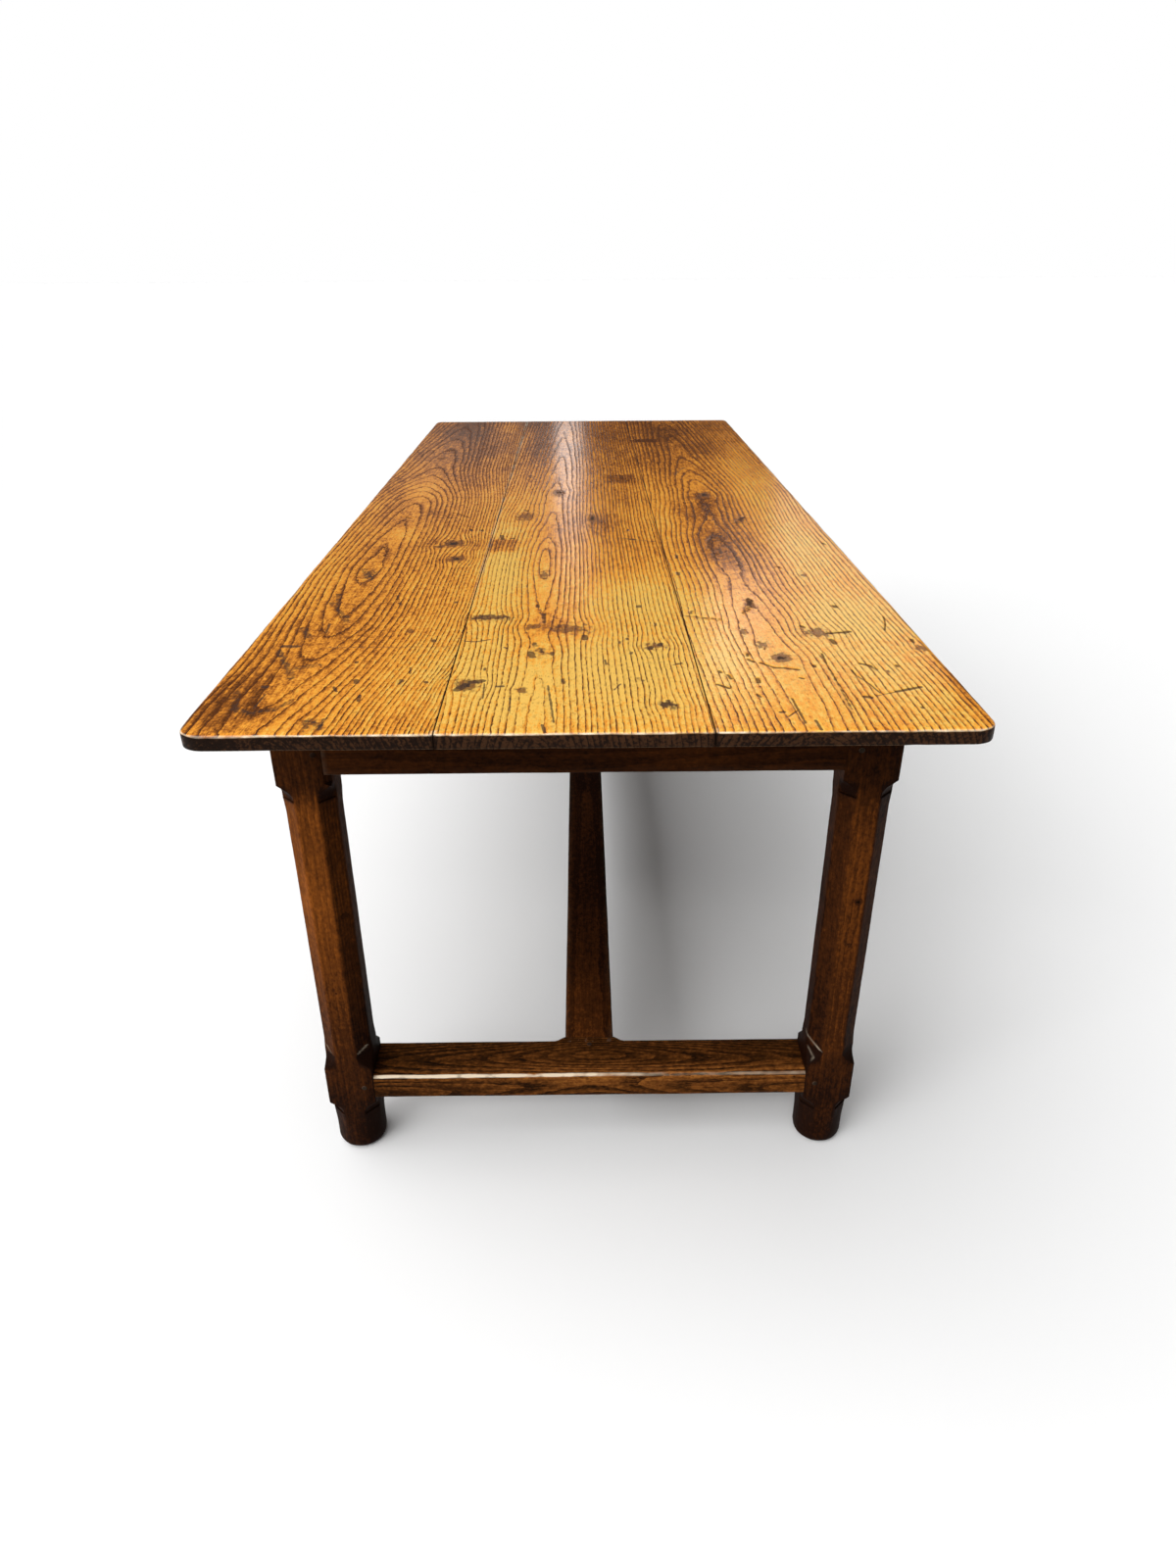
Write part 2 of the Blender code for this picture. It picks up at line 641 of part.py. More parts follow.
def make_button(end, side, board, rail):
    """A turn button: its tongue sits in a slot of the end rail, its screw in the board."""
    along = ENDS[end]
    name = f"button_{end}_{side}"
    middle = FIXING_PLACES[side]
    rail_face = FRAME_HALF_LENGTH - RAIL_INNER_DEPTH
    body_face = rail_face - BUTTON_STANDOFF
    half = BUTTON_WIDTH / 2
    place, size = between((middle - half, along * body_face, BUTTON_BOTTOM),
                          (middle + half, along * (body_face - BUTTON_BODY_LENGTH), FRAME_TOP))
    button = piece(name, block_mesh(name, size), place, bare_beech(name))
    # The tongue is joined as a block just short of the body's sides, so that no faces coincide
    inset = half - FIT
    join(button, box_helper(name + "_tongue",
                            (middle - inset, along * (body_face - OVERRUN), BUTTON_BOTTOM + FIT),
                            (middle + inset, along * (rail_face + BUTTON_TONGUE_REACH),
                             BUTTON_TONGUE_HIGH)))
    cut(rail, box_helper(name + "_slot",
                         (middle - half - SLOT_PLAY, along * (rail_face - OVERRUN), BUTTON_BOTTOM),
                         (middle + half + SLOT_PLAY, along * (rail_face + BUTTON_TONGUE_REACH + SLOT_PLAY),
                          BUTTON_TONGUE_HIGH + FIT)))
    screw_place = (middle, along * (body_face - BUTTON_BODY_LENGTH / 2), BUTTON_BOTTOM)
    make_screw(f"button_screw_{end}_{side}", screw_place,
               BUTTON_REBATE + BUTTON_TONGUE_THICKNESS, (button, board))


def make_table():
    boards = make_top()
    legs = make_legs()
    side_rails = {side: make_side_rail(side, legs) for side in SIDES}
    stretcher_mesh = end_stretcher_mesh()
    end_stretchers = {end: make_end_stretcher(end, stretcher_mesh, legs) for end in ENDS}
    make_long_stretcher(end_stretchers)
    for end in ENDS:
        rail = make_end_rail(end, legs)
        make_bearer(end, boards, side_rails)
        for side, board in boards.items():
            make_button(end, side, board, rail)


make_table()
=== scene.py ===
# %% [markdown]
# # A long farmhouse table
# This lesson dresses the plain solids of an old dining table. The frame gives every board, leg
# and rail at its true size. Each one is cut again here as a worn piece of wood and given the
# grain of the plank it was sawn from. Grain could be a picture wrapped round the wood, but a
# picture repeats and blurs up close. So the rings are worked out as a tree makes them, as
# distances from its heart.

# %% Load the frame
import math
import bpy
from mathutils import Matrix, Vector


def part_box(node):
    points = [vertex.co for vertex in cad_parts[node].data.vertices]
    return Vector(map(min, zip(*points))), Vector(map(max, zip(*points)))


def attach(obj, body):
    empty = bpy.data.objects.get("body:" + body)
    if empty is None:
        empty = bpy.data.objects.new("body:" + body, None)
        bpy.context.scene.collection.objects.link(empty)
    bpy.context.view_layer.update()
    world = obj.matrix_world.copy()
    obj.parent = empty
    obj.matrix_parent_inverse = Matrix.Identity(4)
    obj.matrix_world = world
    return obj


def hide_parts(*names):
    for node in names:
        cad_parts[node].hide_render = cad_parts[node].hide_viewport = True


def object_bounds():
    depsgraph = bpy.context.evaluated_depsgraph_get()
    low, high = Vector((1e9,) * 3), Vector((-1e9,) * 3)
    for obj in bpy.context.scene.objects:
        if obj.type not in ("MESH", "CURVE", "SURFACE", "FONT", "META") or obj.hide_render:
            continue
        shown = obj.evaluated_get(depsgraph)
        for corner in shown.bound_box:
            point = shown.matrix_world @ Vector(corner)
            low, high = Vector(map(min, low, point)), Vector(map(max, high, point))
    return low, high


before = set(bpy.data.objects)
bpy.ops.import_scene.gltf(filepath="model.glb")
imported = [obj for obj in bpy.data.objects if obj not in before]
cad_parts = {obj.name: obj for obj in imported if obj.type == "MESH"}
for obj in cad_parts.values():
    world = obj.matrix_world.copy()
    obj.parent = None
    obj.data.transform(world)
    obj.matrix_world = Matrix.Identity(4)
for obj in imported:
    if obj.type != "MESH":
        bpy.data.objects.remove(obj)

from types import SimpleNamespace

import bmesh
import bpy
import numpy as np
from mathutils import Matrix, Vector, noise

cad_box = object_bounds()
print("The solids' box:", [tuple(round(value, 4) for value in corner) for corner in cad_box])


# %% [markdown]
# ## Small tools for materials
# Colours are written as the hex values that a colour picker shows, and Blender's shaders work
# with linear light, so one function turns the first into the second. A node's inputs could be
# set and linked one by one, but that buries a material in plumbing. So a second function feeds
# them all, in their order or by their names, and a third adds a node and feeds it.

# %% Colours and nodes
def linear(hex_colour):
    """The linear colour that a shader needs for an sRGB hex value."""
    shares = [int(hex_colour[i:i + 2], 16) / 255 for i in (1, 3, 5)]
    return [s / 12.92 if s <= 0.04045 else ((s + 0.055) / 1.055) ** 2.4 for s in shares] + [1.0]


def feed(tree, node, feeds):
    """Feeds a node's inputs with plain values, hex colours or other nodes, in order or by name."""
    sockets = [socket for socket in node.inputs if socket.enabled]
    named = {socket.name: socket for socket in reversed(sockets)}
    for key, value in feeds.items() if isinstance(feeds, dict) else enumerate(feeds):
        socket = named[key] if isinstance(feeds, dict) else sockets[key]
        if isinstance(value, bpy.types.Node):
            value = next(output for output in value.outputs if output.enabled)
        if isinstance(value, bpy.types.NodeSocket):
            tree.links.new(value, socket)
        else:
            socket.default_value = linear(value) if isinstance(value, str) else value


def add(tree, kind, feeds=(), stops=(), **settings):
    """Adds a node with its settings, what feeds it and the stops of its colour ramp."""
    made = tree.nodes.new("ShaderNode" + kind)
    for name, value in settings.items():
        setattr(made, name, value)
    feed(tree, made, feeds)
    if stops:
        ramp = made.color_ramp.elements
        while len(ramp) < len(stops):
            ramp.new(1.0)
        for element, (place, value) in zip(ramp, stops):
            element.position = place
            element.color = linear(value) if isinstance(value, str) else (value, value, value, 1.0)
    return made


def new_material(name):
    """A material, its node tree and its shader."""
    material = bpy.data.materials.new(name)
    material.use_nodes = True
    return material, material.node_tree, material.node_tree.nodes["Principled BSDF"]


print("Half of full brightness, #808080, is", round(linear("#808080")[0], 3), "in linear light")


# %% [markdown]
# ## The camera
# The photograph was taken standing at one end, looking down the table with a wide lens. A camera
# could be turned by eye until the picture fits. Its place, turn and lens were instead worked out
# from the corners of the top and the legs, because the corners of a box leave no choice. The lens
# is given for a picture of 1200 by 1600 points.

# %% Stand the camera at the end of the table
PICTURE_HEIGHT = 1600
FOCAL_POINTS = 1020.7
EYE = Vector((-0.0067, -2.0256, 1.2024))
LOOK_RIGHT, LOOK_DOWN, TILT = 0.0062, 0.4861, -0.0061

lens = bpy.data.cameras.new("camera")
lens.sensor_fit = "AUTO"
lens.lens = lens.sensor_width * FOCAL_POINTS / PICTURE_HEIGHT
camera = bpy.data.objects.new("camera", lens)
bpy.context.scene.collection.objects.link(camera)
turn = (Matrix.Rotation(-LOOK_RIGHT, 4, "Z") @ Matrix.Rotation(math.pi / 2 - LOOK_DOWN, 4, "X")
        @ Matrix.Rotation(TILT, 4, "Z"))
camera.matrix_world = Matrix.Translation(EYE) @ turn
bpy.context.scene.camera = camera
print(f"A lens of {lens.lens:.1f} mm, {EYE.z:.2f} m above the floor")


# %% [markdown]
# ## The studio
# The table stands on a pale seamless floor under a white sky, which fills the shadows. A plain
# white floor would do, but it throws far more light up under the table than the floor of a real
# room. So the camera, and anything that mirrors the floor, sees it white, and soft light meets
# a grey one. The sky is split in the same way.

# %% The floor and the sky
FLOOR_REACH = 60.0
FLOOR_SEEN, FLOOR_BOUNCE = "#FFFFFF", "#8C8C8C"
SKY_STRENGTH = 0.11


def rays_that_look(tree):
    """1 for rays from the camera or a mirror-like surface, and 0 for those that carry soft light."""
    rays = add(tree, "LightPath").outputs
    seen = add(tree, "Math", [rays["Is Camera Ray"], rays["Is Glossy Ray"]], operation="MAXIMUM")
    return add(tree, "Math", [seen, rays["Is Transmission Ray"]], operation="MAXIMUM")


def place_on_stage(name, bm, material):
    """Makes an object of the studio, which isn't part of the table."""
    mesh = bpy.data.meshes.new(name)
    bm.to_mesh(mesh)
    bm.free()
    mesh.materials.append(material)
    made = bpy.data.objects.new(name, mesh)
    bpy.context.scene.collection.objects.link(made)
    return made


# Matt paper: the eye sees the shadow on it and no shine at all
paper, tree, shader = new_material("matt_white_paper")
shade = add(tree, "Mix", [rays_that_look(tree), FLOOR_BOUNCE, FLOOR_SEEN], data_type="RGBA")
feed(tree, shader, {"Base Color": shade, "Roughness": 1.0, "Specular IOR Level": 0.0})
bm = bmesh.new()
bmesh.ops.create_grid(bm, x_segments=1, y_segments=1, size=FLOOR_REACH)
place_on_stage("studio_floor", bm, paper)

sky = bpy.data.worlds.new("white_studio")
bpy.context.scene.world = sky
sky.use_nodes = True
tree = sky.node_tree
strength = add(tree, "MapRange", {"Value": rays_that_look(tree), "To Min": SKY_STRENGTH, "To Max": 1.0})
feed(tree, tree.nodes["Background"], {"Color": "#FFFFFF", "Strength": strength})
bpy.context.scene.view_settings.view_transform = "Standard"
print("The sky lights the table at", SKY_STRENGTH, "of white")


# %% [markdown]
# ## Lamps and reflections
# A sun lamp with a wide angle is a soft box far away. One hangs high on the left, so the shadow
# falls to the right, and a lower one models the legs. A thin strip above the viewer draws bright
# lines on the rubbed arrises. The top is polished, so it needs something to mirror. A whole room
# could be built for that, but a few panes far behind the table give the same reflections and can
# each be set alone. A tall window lays the long streak on the middle board, a slit and a door
# beside it the thin one at the left joint, and the rest pale the far corners and the right
# board. Dark walls all round, seen by mirror-like rays alone, keep the wax from turning milky.

# %% Hang the lamps
WINDOW_DISTANCE = 4.0
# How far across each pane stands, its sill, its head, its width, and how bright a mirror shows it
PANES = {
    "far_window_low": (-0.070, 1.17, 1.66, 0.150, 1.4), "far_window_high": (-0.070, 1.66, 2.20, 0.150, 1.1),
    "side_window": (1.75, 1.35, 2.90, 1.20, 0.54), "corner_window": (0.97, 2.10, 2.85, 0.36, 1.3),
    "pale_wall_low": (-1.60, 1.17, 1.50, 2.80, 0.23), "pale_wall_high": (-1.60, 1.50, 1.85, 2.80, 0.11),
    "far_slit": (-0.405, 1.19, 1.56, 0.045, 2.4), "far_door": (-0.435, 1.17, 1.30, 0.170, 0.32)}


def lamp(name, kind, place, target, energy, **settings):
    """A lamp that looks at a target from its place."""
    light = bpy.data.lights.new(name, kind)
    light.energy = energy
    for setting, value in settings.items():
        setattr(light, setting, value)
    made = bpy.data.objects.new(name, light)
    bpy.context.scene.collection.objects.link(made)
    aim = (Vector(target) - Vector(place)).to_track_quat("-Z", "Y").to_matrix().to_4x4()
    made.matrix_world = Matrix.Translation(place) @ aim
    return made


def window(name, across, sill, head, width, brightness):
    """A pane far behind the table. Brightness is what a mirror would show, where 1 is white."""
    height = head - sill
    place = Vector((across, WINDOW_DISTANCE, (sill + head) / 2))
    pane = lamp(name, "AREA", place, place - Vector((0, 1, 0)), brightness * width * height * math.pi,
                shape="RECTANGLE", size=width, size_y=height)
    pane.visible_camera = False


lamp("soft_key", "SUN", (-4.9, -2.2, 10), (0, 0, 0), 2.69, angle=math.radians(78))
lamp("low_fill", "SUN", (-6.6, -6.2, 3.6), (0, 0, 0), 1.20, angle=math.radians(36))
lamp("front_strip", "AREA", (-0.6, -3.5, 2.9), (0, -1.0, 0.6), 13.0, shape="RECTANGLE", size=2.6, size_y=0.02)
for name, sizes in PANES.items():
    window(name, *sizes)
print("Three lamps and", len(PANES), "panes")


# %% [markdown]
# ## Dark walls
# What no pane covers, the wax mirrors from the room. A white sky there would lay a grey haze on
# the whole top, so a dark ring of cloth stands behind the panes. A black sky would do as well, but
# it would take its light from the table too. The ring is only seen by mirror-like rays.

# %% Stand the walls
# How far the ring stands, how high it is, and the gap below it
WALL_DISTANCE, WALL_HEIGHT, WALL_GAP = 5.5, 8.0, 0.3
# Wall cloth: dark, brown and without shine, so a reflection of it leaves the wood its own colour
walls_cloth, tree, shader = new_material("dark_wall_cloth")
feed(tree, shader, {"Base Color": "#2A211C", "Roughness": 0.9})
bm = bmesh.new()
bmesh.ops.create_cone(bm, cap_ends=False, segments=64, radius1=WALL_DISTANCE, radius2=WALL_DISTANCE,
                      depth=WALL_HEIGHT, matrix=Matrix.Translation((0, 0, WALL_HEIGHT / 2 + WALL_GAP)))
walls = place_on_stage("dark_walls", bm, walls_cloth)
for seen_by in ("visible_camera", "visible_diffuse", "visible_shadow", "visible_transmission"):
    setattr(walls, seen_by, False)
print("Walls stand", WALL_DISTANCE, "m away")


# %% [markdown]
# ## How a plank gets its figure
# A tree lays down one ring a year round its heart. A board sawn beside the heart shows the
# rings as long lines. Where the heart comes nearer to the surface and goes away again, the lines
# close into ovals and arches, and round a knot they swerve. A wave texture draws straight lines
# or circles, but never these. So a ring's number is a distance from the heart line, divided by
# the width of a ring, measured from a place that the knots have pushed aside. It is worked out
# once for each point of a fine mesh and kept there as an attribute, which the material turns
# into dark lines. How far apart the rings lie is kept beside it.

# %% Ring numbers from a heart line and its knots
MM = 0.001
# A heart line is drawn through its stops at this many places, and rounded over 5 cm
CURVE_PLACES, BLUR_PLACES, SMOOTHING = 600, 60, 0.05
# 2 would make every ring a true circle: a little less draws the arches to the points they have here
ROUNDNESS = 1.7
# An old tree grows slower, so its outer rings are narrower, up to this far from the heart
NARROWING_REACH = 0.2
# How hard a knot pushes the rings aside, and how many times its own size that reaches
KNOT_PUSH, PUSH_ACROSS, PUSH_ALONG = 0.75, 2.4, 2.6
# Good and bad years come in turns: by how many rings they shift a line, their pace and their start
WEATHER = ((0.12, 0.55, 1.0), (0.08, 1.9, 2.0))
# The material adds noise to the rings, and this takes the middle of that noise away again
WAVER_MIDDLE = 0.80
# How near and how far apart rings may come, in millimetres
LEAST_GAP, WIDEST_GAP = 2.5, 40


def curve_through(stops, along):
    """A smooth curve of along through the stops, which are pairs of place and value."""
    places, values = zip(*stops)
    fine = np.linspace(places[0], places[-1], CURVE_PLACES)
    steps = np.arange(-BLUR_PLACES, BLUR_PLACES + 1)
    spread = np.exp(-((steps * (fine[1] - fine[0])) / SMOOTHING) ** 2)
    level = np.pad(np.interp(fine, places, values), BLUR_PLACES, mode="edge")
    return np.interp(along, fine, np.convolve(level, spread / spread.sum(), mode="valid"))


def ring_numbers(across, along, up, heart, knots, ring_width, narrowing):
    """Which year's ring each point lies in. A heart gives its side and depth along the board."""
    across = across.copy()
    for x, y, wide, long, push in knots:
        near = np.exp(-((across - x) / (PUSH_ACROSS * min(wide, long))) ** 2
                      - ((along - y) / (PUSH_ALONG * long)) ** 2)
        across -= KNOT_PUSH * push * (across - x) * near
    side = curve_through([(place, sideways) for place, sideways, _ in heart], along)
    depth = ring_width * curve_through([(place, rings) for place, _, rings in heart], along)
    away = np.abs(across - side)
    away += narrowing * np.minimum(away, NARROWING_REACH) ** 2
    years = (away ** ROUNDNESS + np.abs(up + depth) ** ROUNDNESS) ** (1 / ROUNDNESS) / ring_width
    return years + sum(shift * np.sin(pace * years + start) for shift, pace, start in WEATHER) - WAVER_MIDDLE


def ring_gaps(across, along, *sawing):
    """How many millimetres apart the rings come out at each point."""
    step = 0.5 * MM
    slopes = [ring_numbers(across + dx, along + dy, *sawing) - ring_numbers(across - dx, along - dy, *sawing)
              for dx, dy in ((step, 0), (0, step))]
    return np.clip(1 / np.maximum(np.hypot(*slopes), 1e-3), LEAST_GAP, WIDEST_GAP)


def keep(mesh, **attributes):
    """Keeps one number for each point under each name."""
    for name, values in attributes.items():
        layer = mesh.attributes.new(name, "FLOAT", "POINT")
        layer.data.foreach_set("value", np.broadcast_to(np.float32(values), len(mesh.vertices)).copy())


print("Rings are narrower up to", NARROWING_REACH, "m from the heart")


# %% [markdown]
# ## The knots and patches of the top
# Each knot is a side branch that the trunk grew round. Knots could be scattered by chance, but
# on this top they are few and large and each is known by its place, so a list gives it, with the
# knot's half width and length in millimetres, and how dark it is. The patches are where wax and
# spilt wine have darkened the wood, or with a minus where wear has kept it golden. The longest
# ones tint most of a board. Stains have a plain edge, as the ring of a wet pan leaves.

# %% Where the knots and patches lie
KNOTS = [(x * MM, y * MM, wide * MM, long * MM, dark) for x, y, wide, long, dark in (
    (-223, -326, 13, 17, 1.0), (-244, -346, 7, 7, 0.8), (-208, -422, 10, 14, 0.95), (-334, -505, 7, 24, 0.5),
    (-339, 485, 8, 14, 0.6), (-110, -130, 15, 30, 0.5), (16, -150, 6, 30, 0.95), (11, -210, 5, 26, 0.4),
    (-50, 82, 10, 26, 0.9), (-63, -520, 5, 20, 0.6), (-130, -722, 24, 12, 0.55), (-70, -762, 9, 10, 0.6),
    (-22, -770, 22, 17, 0.5), (-57, -856, 12, 14, 0.3), (86, -838, 12, 10, 0.6), (-137, -962, 11, 13, 0.8),
    (-74, -980, 6, 7, 0.5), (87, -1024, 9, 10, 0.5), (247, 50, 10, 18, 1.0), (228, 20, 8, 10, 0.5),
    (200, -130, 22, 22, 0.22), (290, -165, 10, 26, 0.4), (231, -668, 5, 20, 0.75), (298, -794, 16, 14, 0.55),
    (205, -786, 8, 13, 0.45), (220, -838, 8, 13, 0.45), (236, -884, 9, 12, 1.0), (153, 420, 5, 9, 0.5),
    (-250, 620, 6, 10, 0.5), (-230, -775, 4, 8, 0.5), (-358, -655, 4, 9, 0.6), (353, -932, 4, 7, 0.4),
    (-290, -1070, 12, 14, 0.4), (-117, 260, 5, 9, 0.5), (415, -855, 7, 9, 0.5), (333, -532, 4, 10, 0.5))]
PATCHES = (
    (-320, 970, 70, 190, 0.55), (-240, 560, 70, 240, 0.2), (-112, 500, 32, 360, 0.4),
    (-110, 960, 60, 200, 0.35), (200, 880, 70, 220, 0.40), (310, 600, 50, 110, 0.35),
    (60, 500, 60, 420, 0.15), (240, -20, 50, 110, 0.30), (230, -390, 26, 150, 0.50),
    (-112, -135, 26, 45, 0.35), (34, -180, 22, 70, 0.4), (-45, -765, 46, 32, 0.4),
    (-405, -980, 36, 160, 0.28), (-372, -980, 26, 90, 0.35), (-225, -330, 34, 30, 0.4),
    (-213, -425, 24, 24, 0.35), (215, -110, 50, 90, 0.15), (232, -160, 40, 190, 0.15),
    (424, -1010, 13, 130, 0.6), (370, -830, 60, 7, 0.35), (-335, -600, 34, 150, 0.12),
    (-345, -780, 30, 60, 0.25), (-345, -900, 26, 40, 0.20), (-350, -1035, 30, 24, 0.4),
    (-130, -440, 34, 90, -0.55), (-60, -960, 110, 130, -0.60), (70, -960, 70, 150, -0.60),
    (85, -640, 60, 110, -0.40), (350, -700, 60, 110, -0.45), (-130, -590, 30, 130, -0.45),
    (-320, -250, 26, 60, -0.5), (-140, -235, 24, 50, -0.5), (350, -330, 50, 260, -0.45),
    (180, -900, 40, 180, -0.45), (-290, 60, 70, 120, -0.2), (-330, 180, 36, 100, -0.4),
    (340, 250, 60, 200, -0.25), (180, -660, 30, 70, -0.3), (360, -980, 40, 80, -0.25),
    (-240, -980, 60, 80, -0.2), (330, -880, 110, 150, -0.45), (-125, -600, 44, 260, -0.25),
    (60, -650, 80, 240, -0.22), (200, -780, 60, 160, -0.2), (-330, -250, 90, 900, 0.26),
    (-395, -1000, 60, 110, 0.45), (-205, 0, 40, 1500, -0.10), (-205, 980, 40, 140, -0.25),
    (-125, 0, 40, 1500, -0.18), (-110, -960, 60, 140, -0.18), (60, -800, 110, 300, -0.28),
    (-45, 100, 36, 500, 0.10), (125, 200, 40, 700, -0.10), (207, -380, 45, 180, 0.38),
    (260, -300, 80, 350, 0.34), (373, 0, 50, 1500, -0.20), (245, 450, 80, 480, 0.34),
    (207, -880, 50, 200, 0.12), (-320, 400, 90, 450, 0.20), (-340, -500, 80, 600, 0.12),
    (-45, -150, 36, 800, 0.22), (75, 0, 70, 500, 0.12), (190, -760, 60, 300, 0.14),
    (-300, -50, 110, 1000, 0.16), (-330, 900, 80, 300, 0.20), (207, 880, 60, 300, 0.18),
    (290, 790, 50, 120, 0.20), (373, 980, 40, 90, 0.25), (-20, 560, 90, 170, 0.18),
    (-150, 430, 70, 130, 0.18), (290, 280, 50, 200, 0.18), (20, -240, 100, 280, 0.18),
    (290, -350, 45, 150, 0.22), (-42, -720, 34, 130, 0.26), (207, -840, 45, 130, 0.12),
    (-350, -830, 70, 120, 0.12))
STAINS = ((-136, -341, 25, 42, 0.75), (168, 728, 32, 26, 0.75), (82, 224, 33, 44, 0.45))
print(len(KNOTS), "knots,", len(PATCHES), "patches and", len(STAINS), "stains on the top")


# %% [markdown]
# ## Scratches, cracks and dents
# A century of meals has left its marks. They could be cut into the mesh, but most are finer
# than its faces, so each is a short line that the material darkens: where it starts and ends,
# its half width in millimetres, and how dark the dirt in it is. A dot is a line that hardly
# moves. The finest are drawn up to twice as wide as they are, so that they show. Where the rings
# run out in an arch, their dark wood spreads, and a broad line with a soft edge stands for that.

